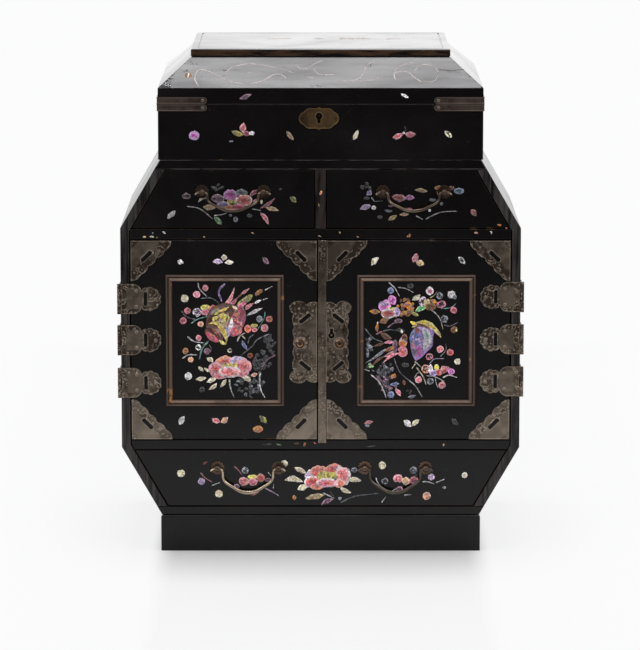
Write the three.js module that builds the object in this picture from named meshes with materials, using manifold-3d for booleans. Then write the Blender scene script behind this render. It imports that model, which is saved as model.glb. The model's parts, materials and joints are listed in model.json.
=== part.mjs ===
// Black-lacquered table cabinet for jewellery, with patinated metal fittings.
// An eight-sided body stands on a plinth and carries a box with a hipped lid. Two small drawers,
// a pair of doors with two drawers behind them, and one long drawer fill its front.
// Millimetres, +Z up, the front faces -Y, and the origin is under the middle of the plinth.
import * as THREE from 'three';
import { mergeVertices } from 'three/addons/utils/BufferGeometryUtils.js';
import Module from 'manifold-3d';

const wasm = await Module();
wasm.setup();

// Body, an octagon seen from the front
const bodyWidth = 300;
const bodyDepth = 184;
const endWidth = 240;
const lowerShoulderRise = 51.8;
const uprightHeight = 166.8;
const upperShoulderRise = 51.8;
const wallThickness = 7;
const floorThickness = 6.1;
const ceilingThickness = 7.4;
const backThickness = 6;
const lowerRailThickness = 7.3;
const upperRailThickness = 8.1;
const lowerDrawerOpening = 44;
const upperDrawerOpening = 44.7;
const dividerThickness = 8.3;
const boardEdgeBevel = 0.4;

// Plinth, a shallow tray turned the right way up
const plinthHeight = 28;
const plinthOverhang = 0.7;
const plinthWall = 10;
const plinthFloor = 5;
const plinthTopBevel = 1.5;

// Box on top of the body, and its lid
const boxHeight = 41.6;
const boxOverhang = 1.2;
const boxWall = 8;
const boxCornerRadius = 1.2;
const boxEdgeBevel = 0.3;
const lidSeam = 0.3;
const lidRimHeight = 11.7;
const lidHipRise = 21;
const lidHipInset = 24.5;
const lidShellThickness = 7;
const lidPanelThickness = 5.8;
const lidPanelOverhang = 0.4;
const lidPanelBevel = 0.7;
const lidBeadInset = 5;
const lidBeadWidth = 0.8;
const lidBeadDepth = 0.5;

// Doors, and the moulding round the panel of each
const doorThickness = 12;
const doorGap = 0.5;
const doorMeetingGap = 0.8;
const doorMeetingPlace = -2.2;
const doorEdgeBevel = 0.5;
const panelFromOuterEdge = 26.2;
const leftPanelFromSeam = 24.9;
const rightPanelFromSeam = 29.2;
const panelFromTop = 26;
const panelFromBottom = 25.7;
const mouldingWidth = 5.2;
const mouldingRise = 3.1;
const coverStripWidth = 6;
const coverStripThickness = 1.6;
const coverStripOverhang = 2.2;

// Flat metal mounts
const plateThickness = 0.9;
const cornerPlateReach = 30.6;
const cornerPlateInset = 0.3;
const cornerSlotPlace = 11.8;
const plateSlotLength = 10.6;
const plateSlotWidth = 3.4;
const lockPlateHalfHeight = 31.8;
const lockPlateWidth = 20.6;
const lockPlateDrop = 1.4;
const lockSlotRise = 18.1;
const lockSlotFromStrip = 9.1;
const bossRadius = 4.1;
const bossHeight = 2.2;
const leftBossFromSeam = 12.8;
const rightBossFromStrip = 10.1;
const bossDrop = 0.8;
const keyholeRadius = 2.4;
const keyholeSlotWidth = 2.2;
const keyholeSlotLength = 5.1;
const doorKeyholeFromStrip = 4;
const doorKeyholeRise = 5.2;
const doorKeyholeDepth = 6;
const escutcheonWidth = 30.4;
const escutcheonHeight = 17.4;
const escutcheonPlace = -1.2;
const escutcheonDrop = 10.5;
const boxKeyholeRise = 1.7;
const strapLength = 37.5;
const strapWidth = 5.1;
const strapThickness = 0.8;

// Side hinges: the pin stands just outside the front corner of the body
const hingePinOffset = 1.2;
const hingeKnuckleRadius = 1.4;
const hingePinRadius = 0.6;
const hingePinClearance = 0.1;
const hingeLeafHeight = 22.8;
const hingeLeafLength = 16.2;
const hingeRosetteRadius = 9.4;
const hingeRosettePlace = 22.4;
const hingeRosetteLobes = 11;
const hingeLobeDepth = 0.9;
const hingeCloudLength = 5;
const hingeSlotPlace = 24;
const hingeSlotLength = 10.5;
const hingeSlotWidth = 3;
const hingeKnuckleGap = 0.3;
const leftHinges = { fromTop: 44.4, aboveMiddle: 0.2, fromBottom: 43.5 };
const rightHinges = { fromTop: 42.8, aboveMiddle: 0.9, fromBottom: 44.6 };

// Lid hinges, on the back
const lidHingePlace = 62;
const lidHingeWidth = 26;
const lidHingeLength = 11;
const lidHingePinOffset = 1.9;
const lidHingeKnuckleRadius = 1.6;

// Drawers
const drawerGap = 0.5;
const drawerFrontThickness = 9;
const drawerSide = 5;
const drawerFloor = 4;
const drawerBack = 5;
const drawerBackGap = 6;
const trayDrop = 2;
const trayInset = 0.4;
const innerDrawerCount = 2;
const innerBoardThickness = 6;
const innerSetback = 12;
const innerKnobRadius = 4.5;
const innerKnobReach = 5;

// Drawer handles: a bail hangs in two eyes, each on a petalled rose
const handleSpacing = 46;
const upperHandleRise = 28.1;
const leftUpperHandlePlace = -65.5;
const rightUpperHandlePlace = 69.5;
const lowerHandleRise = 30.1;
const leftLowerHandlePlace = -54.8;
const rightLowerHandlePlace = 56.3;
const upperBailDrop = 14;
const lowerBailDrop = 18.4;
const bailRadius = 1.05;
const upperBailFullness = 1.35;
const lowerBailFullness = 1.6;
const bailNeck = 3.2;
const bailTail = 2;
const bailClearance = 0.45;
const eyeRadius = 2.7;
const eyeNeckRadius = 1.3;
const eyeReach = 4;
const roseRadius = 5.3;
const roseThickness = 1.2;
const rosePetals = 12;
const rosePetalDepth = 0.8;
const drawerFrontBite = 0.5;

// Locks
const boltLength = 14;
const boltHeight = 11;
const boltThickness = 3;
const boltThrow = 5;
const boltClearance = 0.3;
const lidLockWidth = 24;
const lidLockHeight = 17;
const lidLockThickness = 4.6;
const strikerWidth = 8;
const strikerThickness = 1.4;
const strikerDrop = 6;
const strikerClearance = 0.6;

// Clearance of a piece that is let into another, and how far a cutter runs past what it cuts
const seatGap = 0.3;
const cutterRun = 1;

// Places worked out from the sizes above
const frontFace = -bodyDepth / 2;
const backFace = bodyDepth / 2;
const backInside = backFace - backThickness;
const bodyBottom = plinthHeight;
const bodyTop = bodyBottom + lowerShoulderRise + uprightHeight + upperShoulderRise;
const wallBottom = bodyBottom + floorThickness;
const wallTop = bodyTop - ceilingThickness;
const lowerRailBottom = wallBottom + lowerDrawerOpening;
const lowerRailTop = lowerRailBottom + lowerRailThickness;
const upperRailTop = wallTop - upperDrawerOpening;
const upperRailBottom = upperRailTop - upperRailThickness;
const seamHeight = bodyTop + boxHeight;
const lidBottom = seamHeight + lidSeam;
const boxHalfWidth = endWidth / 2 + boxOverhang;
const boxHalfDepth = bodyDepth / 2 + boxOverhang;
const doorHeight = upperRailBottom - lowerRailTop - 2 * doorGap;
const doorMiddle = (upperRailBottom + lowerRailTop) / 2;
const doorOuterEdge = bodyWidth / 2 - wallThickness - doorGap;
const doorBack = frontFace + doorThickness;
const leftDoorEdge = doorMeetingPlace - doorMeetingGap / 2;
const rightDoorEdge = doorMeetingPlace + doorMeetingGap / 2;
const pinPlace = bodyWidth / 2 + hingePinOffset;
const pinFront = frontFace - hingePinOffset;
const eyeDistance = roseThickness + eyeReach;
const innerFront = doorBack + innerSetback;
const trayBack = backInside - drawerBackGap;
const upperHandleHeight = upperRailTop + upperHandleRise;
const lowerHandleHeight = wallBottom + lowerHandleRise;
const lockPlateMiddle = doorMiddle - lockPlateDrop;
const doorKeyholePlace = rightDoorEdge + coverStripWidth + doorKeyholeFromStrip;
const doorKeyholeHeight = lockPlateMiddle + doorKeyholeRise;
const lowerSlope = (bodyWidth - endWidth) / 2 / lowerShoulderRise;
const upperSlope = (bodyWidth - endWidth) / 2 / upperShoulderRise;
const boltMiddle = frontFace + doorThickness / 2;
const boxInside = boxWall - boxHalfDepth;
const lidLockMiddle = boxInside - lidLockThickness / 2;
const escutcheonMiddle = seamHeight - escutcheonDrop;
const boxKeyholeHeight = escutcheonMiddle + boxKeyholeRise;

const lacquer = new THREE.MeshStandardMaterial({ color: 0x15110f, roughness: 0.22, metalness: 0 });
const innerLacquer = new THREE.MeshStandardMaterial({ color: 0x1d1512, roughness: 0.45, metalness: 0 });
const brownMoulding = new THREE.MeshStandardMaterial({ color: 0x4a3526, roughness: 0.5, metalness: 0 });
const greyMetal = new THREE.MeshStandardMaterial({ color: 0x5b524a, roughness: 0.5, metalness: 0.8 });
const bronze = new THREE.MeshStandardMaterial({ color: 0x54452f, roughness: 0.45, metalness: 0.85 });
const lockBrass = new THREE.MeshStandardMaterial({ color: 0x8a6f3f, roughness: 0.4, metalness: 0.9 });

// A closed geometry as a solid that can be joined and cut
function solidOf(geometry) {
  const bare = geometry.clone();
  bare.deleteAttribute('normal');
  bare.deleteAttribute('uv');
  const merged = mergeVertices(bare, 1e-4);
  return new wasm.Manifold(new wasm.Mesh({
    numProp: 3,
    vertProperties: Float32Array.from(merged.attributes.position.array),
    triVerts: Uint32Array.from(merged.index.array),
  }));
}

// A solid back as a geometry
function geometryOf(solid) {
  const mesh = solid.getMesh();
  const geometry = new THREE.BufferGeometry();
  geometry.setAttribute('position', new THREE.BufferAttribute(Float32Array.from(mesh.vertProperties), 3));
  geometry.setIndex(Array.from(mesh.triVerts));
  geometry.computeVertexNormals();
  return geometry;
}

function joined(...geometries) {
  return geometries.map(solidOf).reduce((whole, next) => whole.add(next));
}

function pieceOf(name, form, material) {
  const geometry = form.isBufferGeometry ? form : geometryOf(form);
  const mesh = new THREE.Mesh(geometry, material);
  mesh.name = name;
  return mesh;
}

// A shape drawn in X and Z, extruded along Y from its front to its back
function prism(shape, front, back, bevel = 0, curveSegments = 6) {
  const geometry = new THREE.ExtrudeGeometry(shape, {
    depth: back - front - 2 * bevel,
    bevelEnabled: bevel > 0,
    bevelThickness: bevel,
    bevelSize: bevel,
    bevelOffset: -bevel,
    bevelSegments: 1,
    curveSegments,
  });
  geometry.translate(0, 0, bevel);
  geometry.rotateX(Math.PI / 2);
  geometry.translate(0, back, 0);
  return geometry;
}

// A shape drawn in X and Y, extruded up from its lowest to its highest face
function slab(shape, low, high, bevel = 0, curveSegments = 4) {
  const geometry = new THREE.ExtrudeGeometry(shape, {
    depth: high - low - 2 * bevel,
    bevelEnabled: bevel > 0,
    bevelThickness: bevel,
    bevelSize: bevel,
    bevelOffset: -bevel,
    bevelSegments: 1,
    curveSegments,
  });
  geometry.translate(0, 0, low + bevel);
  return geometry;
}

// A profile of radius and height, turned round the Y axis and pointing out of the front
function turned(points, segments) {
  const profile = points.map(([radius, height]) => new THREE.Vector2(radius, height));
  const geometry = new THREE.LatheGeometry(profile, segments);
  geometry.rotateX(Math.PI);
  return geometry;
}

function rectangle(left, right, low, high) {
  const shape = new THREE.Shape();
  shape.moveTo(left, low);
  shape.lineTo(right, low);
  shape.lineTo(right, high);
  shape.lineTo(left, high);
  shape.closePath();
  return shape;
}

function roundedRectangle(halfWidth, halfHeight, radius) {
  const shape = new THREE.Shape();
  const x = halfWidth - radius;
  const y = halfHeight - radius;
  shape.moveTo(-x, -halfHeight);
  shape.absarc(x, -y, radius, -Math.PI / 2, 0);
  shape.absarc(x, y, radius, 0, Math.PI / 2);
  shape.absarc(-x, y, radius, Math.PI / 2, Math.PI);
  shape.absarc(-x, -y, radius, Math.PI, 1.5 * Math.PI);
  return shape;
}

function box(left, right, front, back, low, high) {
  const geometry = new THREE.BoxGeometry(right - left, back - front, high - low);
  geometry.translate((left + right) / 2, (front + back) / 2, (low + high) / 2);
  return geometry;
}

function rod(radius, length, segments = 12) {
  return new THREE.CylinderGeometry(radius, radius, length, segments);
}

// Half the octagon's width at a height, with its outline moved in square to its faces
function halfWidthAt(height, inset) {
  const upright = bodyWidth / 2 - inset;
  const low = endWidth / 2 + (height - bodyBottom) * lowerSlope - inset * Math.hypot(1, lowerSlope);
  const high = endWidth / 2 + (bodyTop - height) * upperSlope - inset * Math.hypot(1, upperSlope);
  return Math.min(upright, low, high);
}

// The heights between two limits at which that outline bends
function bendsBetween(low, high, inset) {
  const run = (bodyWidth - endWidth) / 2;
  const lowerBend = bodyBottom + (run - inset + inset * Math.hypot(1, lowerSlope)) / lowerSlope;
  const upperBend = bodyTop - (run - inset + inset * Math.hypot(1, upperSlope)) / upperSlope;
  const inside = [lowerBend, upperBend].filter((height) => height > low && height < high);
  return [low, ...inside, high];
}

// What fits inside the octagon between two heights, and between two uprights if they are given
function bodySection(low, high, inset, left = -Infinity, right = Infinity) {
  const heights = bendsBetween(low, high, inset);
  const rising = heights.map((height) => [Math.min(right, halfWidthAt(height, inset)), height]);
  const falling = heights.map((height) => [Math.max(left, -halfWidthAt(height, inset)), height]).reverse();
  return new THREE.Shape([...rising, ...falling].map(([x, z]) => new THREE.Vector2(x, z)));
}

// Three boards of one side, mitred into a wall that follows the octagon
function sideWall(side) {
  const outside = bendsBetween(wallBottom, wallTop, 0).map((z) => [halfWidthAt(z, 0), z]);
  const inside = bendsBetween(wallBottom, wallTop, wallThickness)
    .map((z) => [halfWidthAt(z, wallThickness), z]).reverse();
  const points = [...outside, ...inside].map(([x, z]) => new THREE.Vector2(side * x, z));
  return prism(new THREE.Shape(points), frontFace, backInside, boardEdgeBevel);
}

// An edge of round lobes between cusps, bulging to the right of the way it runs
function addLobes(shape, cusps, bulge) {
  for (let i = 1; i < cusps.length; i += 1) {
    const [x0, y0] = cusps[i - 1];
    const [x1, y1] = cusps[i];
    const controlX = (x0 + x1) / 2 + (y1 - y0) * bulge;
    const controlY = (y0 + y1) / 2 - (x1 - x0) * bulge;
    shape.quadraticCurveTo(controlX, controlY, x1, y1);
  }
}

// A round outline of petals
function petalDisc(radius, petals, depth, steps = 3) {
  const points = [];
  for (let i = 0; i < petals * steps; i += 1) {
    const angle = (i / (petals * steps)) * 2 * Math.PI;
    const reach = radius - depth * (1 - Math.abs(Math.sin((angle * petals) / 2)));
    points.push(new THREE.Vector2(reach * Math.cos(angle), reach * Math.sin(angle)));
  }
  return new THREE.Shape(points);
}

// A slot with a round lobe at each end and a narrower waist
function lobedSlot(length, width, x, y, angle) {
  const radius = width / 2;
  const reach = length / 2 - radius;
  const open = Math.PI / 3;
  const shape = new THREE.Path();
  const turn = (along, across) => [
    x + along * Math.cos(angle) - across * Math.sin(angle),
    y + along * Math.sin(angle) + across * Math.cos(angle),
  ];
  const [rightX, rightY] = turn(reach, 0);
  const [leftX, leftY] = turn(-reach, 0);
  shape.absarc(rightX, rightY, radius, angle - Math.PI + open, angle + Math.PI - open);
  shape.absarc(leftX, leftY, radius, angle + open, angle - open + 2 * Math.PI);
  shape.closePath();
  return shape;
}

// A round hole with a slot that runs up or down from it
function keyhole(x, z, front, back, direction) {
  const hole = rod(keyholeRadius, back - front, 12);
  hole.translate(x, (front + back) / 2, z);
  const slotEnd = z + direction * keyholeSlotLength;
  const half = keyholeSlotWidth / 2;
  const slot = box(x - half, x + half, front, back, Math.min(z, slotEnd), Math.max(z, slotEnd));
  return joined(hole, slot);
}

// Cabinet body
function makePlinth() {
  const halfWidth = endWidth / 2 + plinthOverhang;
  const halfDepth = bodyDepth / 2 + plinthOverhang;
  const outline = rectangle(-halfWidth, halfWidth, -halfDepth, halfDepth);
  const blank = slab(outline, 0, plinthHeight, plinthTopBevel);
  const foot = slab(outline, 0, plinthHeight / 2);
  const hollow = box(
    plinthWall - halfWidth, halfWidth - plinthWall,
    plinthWall - halfDepth, halfDepth - plinthWall,
    plinthFloor, plinthHeight + cutterRun,
  );
  return joined(blank, foot).subtract(solidOf(hollow));
}

function makeBoxWalls() {
  const outline = roundedRectangle(boxHalfWidth, boxHalfDepth, boxCornerRadius);
  const walls = slab(outline, bodyTop, seamHeight, boxEdgeBevel);
  const well = box(
    boxWall - boxHalfWidth, boxHalfWidth - boxWall,
    boxInside, -boxInside,
    bodyTop - cutterRun, seamHeight + cutterRun,
  );
  const lockPocket = box(
    escutcheonPlace - lidLockWidth / 2 - seatGap, escutcheonPlace + lidLockWidth / 2 + seatGap,
    boxInside - lidLockThickness, boxInside + cutterRun,
    seamHeight - lidLockHeight - seatGap, seamHeight + cutterRun,
  );
  const hole = keyhole(escutcheonPlace, boxKeyholeHeight, -boxHalfDepth - cutterRun, boxInside, -1);
  return solidOf(walls).subtract(solidOf(well)).subtract(solidOf(lockPocket)).subtract(hole);
}

// Round ends, a shoulder beside each, and long straight edges with a small point in their middle
function makeEscutcheon() {
  const quarterShares = [[1, 0], [0.72, 0.6], [0.5, 0.88], [0.1, 0.88], [0, 1]];
  const quarterBulges = [0.3, 0.22, 0, 0];
  const quarter = quarterShares
    .map(([x, z]) => [(x * escutcheonWidth) / 2, (z * escutcheonHeight) / 2]);
  const half = [...quarter, ...quarter.slice(0, -1).reverse().map(([x, z]) => [-x, z])];
  const corners = [...half, ...half.slice(1).map(([x, z]) => [-x, -z])];
  const halfBulges = [...quarterBulges, ...quarterBulges.toReversed()];
  const bulges = [...halfBulges, ...halfBulges];
  const shape = new THREE.Shape();
  shape.moveTo(...corners[0]);
  for (let i = 0; i < bulges.length; i += 1) {
    if (bulges[i] > 0) addLobes(shape, [corners[i], corners[i + 1]], bulges[i]);
    else shape.lineTo(...corners[i + 1]);
  }
  const plate = prism(shape, -boxHalfDepth - plateThickness, -boxHalfDepth, 0, 4);
  plate.translate(escutcheonPlace, 0, escutcheonMiddle);
  const front = -boxHalfDepth - plateThickness - cutterRun;
  const hole = keyhole(escutcheonPlace, boxKeyholeHeight, front, cutterRun - boxHalfDepth, -1);
  return solidOf(plate).subtract(hole);
}

// The lock case is let into the front wall from behind, with a slot in its top for the striker
function makeLidLock() {
  const blank = box(
    escutcheonPlace - lidLockWidth / 2, escutcheonPlace + lidLockWidth / 2,
    boxInside - lidLockThickness, boxInside,
    seamHeight - lidLockHeight, seamHeight,
  );
  const slotHalfWidth = strikerWidth / 2 + strikerClearance;
  const slotHalfThickness = strikerThickness / 2 + strikerClearance;
  const slot = box(
    escutcheonPlace - slotHalfWidth, escutcheonPlace + slotHalfWidth,
    lidLockMiddle - slotHalfThickness, lidLockMiddle + slotHalfThickness,
    seamHeight - strikerDrop - strikerClearance, seamHeight + cutterRun,
  );
  return solidOf(blank).subtract(solidOf(slot));
}

// A strap that runs round a front corner, with a round end on each face
function cornerStrap(side, low) {
  const high = low + strapWidth;
  const middle = (low + high) / 2;
  const radius = strapWidth / 2;
  const outline = new THREE.Shape();
  outline.moveTo(0, low);
  outline.lineTo(strapLength - radius, low);
  outline.absarc(strapLength - radius, middle, radius, -Math.PI / 2, Math.PI / 2);
  outline.lineTo(0, high);
  outline.closePath();
  const along = prism(outline, -strapThickness, 0, 0, 5);
  along.rotateZ(side > 0 ? Math.PI : 0);
  along.translate(side * (boxHalfWidth + strapThickness), side > 0 ? -strapThickness : 0, 0);
  const back = prism(outline, -strapThickness, 0, 0, 5);
  back.rotateZ(Math.PI / 2);
  back.translate(side > 0 ? boxHalfWidth : -boxHalfWidth - strapThickness, -strapThickness, 0);
  const strap = joined(along, back);
  return strap.translate([0, -boxHalfDepth, 0]);
}

// Hinge leaf: its pin runs along Z, its plate along +X, and its face lies at a distance in +Y.
// Its own knuckles are the outer two, or the middle one, which then carries the pin.
function hingeLeaf(size, carriesPin) {
  const { height, outline, thickness, faceDistance, knuckleRadius } = size;
  const third = height / 3;
  const reach = knuckleRadius + 1.5 * hingeKnuckleGap;
  const knuckle = (low, high) => {
    const form = rod(knuckleRadius, high - low);
    form.rotateX(Math.PI / 2);
    form.translate(0, 0, (low + high) / 2);
    return form;
  };
  const clearing = (low, high) => solidOf(box(-reach, reach, -reach, reach, low, high));
  const half = height / 2;
  const split = third / 2;
  const plate = prism(outline, faceDistance - thickness, faceDistance, 0, 5);
  if (carriesPin) {
    const pin = rod(hingePinRadius, height, 10);
    pin.rotateX(Math.PI / 2);
    const bare = solidOf(plate)
      .subtract(clearing(split - hingeKnuckleGap, half + cutterRun))
      .subtract(clearing(-half - cutterRun, hingeKnuckleGap - split));
    return bare.add(joined(knuckle(hingeKnuckleGap - split, split - hingeKnuckleGap), pin));
  }
  const bore = rod(hingePinRadius + hingePinClearance, height + 2 * cutterRun, 12);
  bore.rotateX(Math.PI / 2);
  return solidOf(plate)
    .subtract(clearing(-split, split))
    .add(solidOf(knuckle(split, half)))
    .add(solidOf(knuckle(-half, -split)))
    .subtract(solidOf(bore));
}

// The cloud-shaped plate of a side hinge: its far corners are lobes, and its far end bulges
function cloudOutline() {
  const half = hingeLeafHeight / 2;
  const shoulder = hingeLeafLength - hingeCloudLength;
  const lobeStart = 0.73 * half;
  const lobeBulge = 0.2;
  const shape = new THREE.Shape();
  shape.moveTo(0, -half);
  shape.lineTo(shoulder, -half);
  addLobes(shape, [
    [shoulder, -half], [hingeLeafLength, -lobeStart], [hingeLeafLength, lobeStart], [shoulder, half],
  ], lobeBulge);
  shape.lineTo(0, half);
  shape.closePath();
  return shape;
}

// A cloud plate and a petalled round end with a slot, as on both leaves of a side hinge
function sideHingeLeaf(carriesPin) {
  const disc = petalDisc(hingeRosetteRadius, hingeRosetteLobes, hingeLobeDepth);
  const round = prism(disc, hingePinOffset - plateThickness, hingePinOffset);
  round.translate(hingeRosettePlace, 0, 0);
  const size = {
    height: hingeLeafHeight,
    outline: cloudOutline(),
    thickness: plateThickness,
    faceDistance: hingePinOffset,
    knuckleRadius: hingeKnuckleRadius,
  };
  const slotEdge = lobedSlot(hingeSlotLength, hingeSlotWidth, hingeSlotPlace, 0, Math.PI / 2);
  const slot = prism(new THREE.Shape(slotEdge.getPoints(3)), -cutterRun, hingePinOffset + cutterRun);
  return hingeLeaf(size, carriesPin).add(solidOf(round)).subtract(solidOf(slot));
}

function lidHingeLeaf(carriesPin) {
  const size = {
    height: lidHingeWidth,
    outline: rectangle(0, lidHingeLength, -lidHingeWidth / 2, lidHingeWidth / 2),
    thickness: plateThickness,
    faceDistance: lidHingePinOffset,
    knuckleRadius: lidHingeKnuckleRadius,
  };
  return hingeLeaf(size, carriesPin);
}

// Turns a mesh so that its own X, Y and Z lie along three given directions
function aim(mesh, alongX, alongY, alongZ) {
  const basis = new THREE.Matrix4().makeBasis(
    new THREE.Vector3(...alongX), new THREE.Vector3(...alongY), new THREE.Vector3(...alongZ),
  );
  mesh.quaternion.setFromRotationMatrix(basis);
  return mesh;
}

// Lid: a rim, four hips and a flat top, hollow from below, with the lock's striker under its front
function makeLidShell() {
  const rimTop = lidBottom + lidRimHeight;
  const lidTop = rimTop + lidHipRise;
  const frustum = (inset, low, middle, high) => {
    const corners = [[-1, -1], [1, -1], [1, 1], [-1, 1]];
    const ring = (halfWidth, halfDepth, z) => corners.map(([x, y]) => [x * halfWidth, y * halfDepth, z]);
    const wide = [boxHalfWidth - inset, boxHalfDepth - inset];
    const narrow = [wide[0] - lidHipInset, wide[1] - lidHipInset];
    const rings = [ring(...wide, low), ring(...wide, middle), ring(...narrow, high)];
    const faces = [0, 2, 1, 0, 3, 2, 8, 9, 10, 8, 10, 11];
    for (let level = 0; level < 2; level += 1) {
      for (let corner = 0; corner < 4; corner += 1) {
        const a = 4 * level + corner;
        const b = 4 * level + ((corner + 1) % 4);
        faces.push(a, b, b + 4, a, b + 4, a + 4);
      }
    }
    const geometry = new THREE.BufferGeometry();
    geometry.setAttribute('position', new THREE.Float32BufferAttribute(rings.flat(2), 3));
    geometry.setIndex(faces);
    return geometry;
  };
  const outer = frustum(0, lidBottom, rimTop, lidTop);
  const inner = frustum(boxWall, lidBottom - cutterRun, rimTop, lidTop - lidShellThickness);
  const striker = box(
    escutcheonPlace - strikerWidth / 2, escutcheonPlace + strikerWidth / 2,
    lidLockMiddle - strikerThickness / 2, lidLockMiddle + strikerThickness / 2,
    seamHeight - strikerDrop, rimTop - lidRimHeight / 2,
  );
  return solidOf(outer).subtract(solidOf(inner)).add(solidOf(striker));
}

function makeLidPanel() {
  const low = lidBottom + lidRimHeight + lidHipRise;
  const high = low + lidPanelThickness;
  const halfWidth = boxHalfWidth - lidHipInset + lidPanelOverhang;
  const halfDepth = boxHalfDepth - lidHipInset + lidPanelOverhang;
  const panel = slab(rectangle(-halfWidth, halfWidth, -halfDepth, halfDepth), low, high, lidPanelBevel);
  const groove = (inset) => solidOf(box(
    inset - halfWidth, halfWidth - inset, inset - halfDepth, halfDepth - inset,
    high - lidBeadDepth, high + cutterRun,
  ));
  const bead = groove(lidBeadInset).subtract(groove(lidBeadInset + lidBeadWidth));
  return solidOf(panel).subtract(bead);
}

// Doors
function makeDoor(left, right, bites) {
  const outline = rectangle(left, right, doorMiddle - doorHeight / 2, doorMiddle + doorHeight / 2);
  const board = solidOf(prism(outline, frontFace, doorBack, doorEdgeBevel));
  return bites.reduce((whole, bite) => whole.subtract(bite), board);
}

function boltPocket(left, right) {
  const halfThickness = boltThickness / 2 + boltClearance;
  const halfHeight = boltHeight / 2 + boltClearance;
  return solidOf(box(
    left, right, boltMiddle - halfThickness, boltMiddle + halfThickness,
    doorKeyholeHeight - halfHeight, doorKeyholeHeight + halfHeight,
  ));
}

// A moulded frame: a profile of distance in from the edge and height, swept round a rectangle
function mouldedFrame(profile, width, height) {
  const corners = [[-1, -1], [1, -1], [1, 1], [-1, 1]];
  const positions = [];
  for (const [x, z] of corners) {
    for (const [inset, rise] of profile) {
      positions.push(x * (width / 2 - inset), -rise, z * (height / 2 - inset));
    }
  }
  const count = profile.length;
  const faces = [];
  for (let corner = 0; corner < 4; corner += 1) {
    for (let i = 0; i < count; i += 1) {
      const a = corner * count + i;
      const b = corner * count + ((i + 1) % count);
      const c = ((corner + 1) % 4) * count + i;
      const d = ((corner + 1) % 4) * count + ((i + 1) % count);
      faces.push(a, c, b, b, c, d);
    }
  }
  const geometry = new THREE.BufferGeometry();
  geometry.setAttribute('position', new THREE.Float32BufferAttribute(positions, 3));
  geometry.setIndex(faces);
  return geometry;
}

function makeMoulding(width, height) {
  const shares = [
    [0, 0], [0, 0.5], [0.1, 0.72], [0.26, 0.72], [0.38, 0.42],
    [0.54, 0.92], [0.72, 1], [0.9, 0.82], [1, 0.35], [1, 0],
  ];
  const profile = shares.map(([inset, rise]) => [inset * mouldingWidth, rise * mouldingRise]);
  return mouldedFrame(profile, width, height);
}

// A plate for the lower left corner of a door: straight along the two edges, lobed across
function makeCornerPlate() {
  const reach = cornerPlateReach;
  const shares = [[1, 0], [0.84, 0.25], [0.63, 0.43], [0.43, 0.63], [0.25, 0.84], [0, 1]];
  const shape = new THREE.Shape();
  shape.moveTo(0, 0);
  shape.lineTo(reach, 0);
  addLobes(shape, shares.map(([x, z]) => [x * reach, z * reach]), 0.3);
  shape.closePath();
  const slotAngle = 0.75 * Math.PI;
  const slot = lobedSlot(plateSlotLength, plateSlotWidth, cornerSlotPlace, cornerSlotPlace, slotAngle);
  shape.holes.push(slot);
  return prism(shape, -plateThickness, 0, 0, 3);
}

// Half of the pair of lock plates, from the middle of its straight edge, lobed on the far side
function makeLockPlate(width, bossX, bossZ) {
  const upperShares = [
    [0, 0.96], [0.38, 0.9], [0.64, 0.99], [0.97, 0.86], [0.82, 0.68], [0.8, 0.38], [0.8, 0.1],
  ];
  const lowerShares = upperShares.map(([x, z]) => [x, -z]);
  const cusps = [...lowerShares, ...upperShares.reverse()]
    .map(([x, z]) => [x * width, z * lockPlateHalfHeight]);
  const shape = new THREE.Shape();
  shape.moveTo(...cusps[0]);
  addLobes(shape, cusps, 0.28);
  shape.closePath();
  const slotAngle = 0.22 * Math.PI;
  for (const side of [-1, 1]) {
    const slot = lobedSlot(
      plateSlotLength, plateSlotWidth, lockSlotFromStrip, side * lockSlotRise, -side * slotAngle,
    );
    shape.holes.push(slot);
  }
  const plate = prism(shape, -plateThickness, 0, 0, 3);
  const boss = turned([
    [0, 0], [bossRadius, 0], [bossRadius, 0.35 * bossHeight], [0.8 * bossRadius, bossHeight],
    [0.55 * bossRadius, bossHeight], [0.38 * bossRadius, 0.6 * bossHeight], [0, 0.5 * bossHeight],
  ], 12);
  boss.translate(bossX, -plateThickness / 2, bossZ);
  return joined(plate, boss);
}

// Drawers: a petalled rose, and a ball on a neck with a hole through it for the bail
function roseAndEye(x, z) {
  const rose = prism(petalDisc(roseRadius, rosePetals, rosePetalDepth), -roseThickness, drawerFrontBite);
  const ball = [];
  const steps = 5;
  const neckAngle = Math.asin(eyeNeckRadius / eyeRadius);
  for (let i = 0; i <= steps; i += 1) {
    const angle = neckAngle + (i / steps) * (Math.PI - neckAngle);
    ball.push([i === steps ? 0 : eyeRadius * Math.sin(angle), eyeDistance - eyeRadius * Math.cos(angle)]);
  }
  const post = turned([[0, 0], [eyeNeckRadius, 0], ...ball], 10);
  const bore = rod(bailRadius + bailClearance, 4 * eyeRadius, 10);
  bore.rotateZ(Math.PI / 2);
  bore.translate(0, -eyeDistance, 0);
  return joined(rose, post).subtract(solidOf(bore)).translate([x, frontFace, z]);
}

function handleEyes(place, height) {
  return [-1, 1].map((side) => roseAndEye(place + (side * handleSpacing) / 2, height));
}

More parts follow.
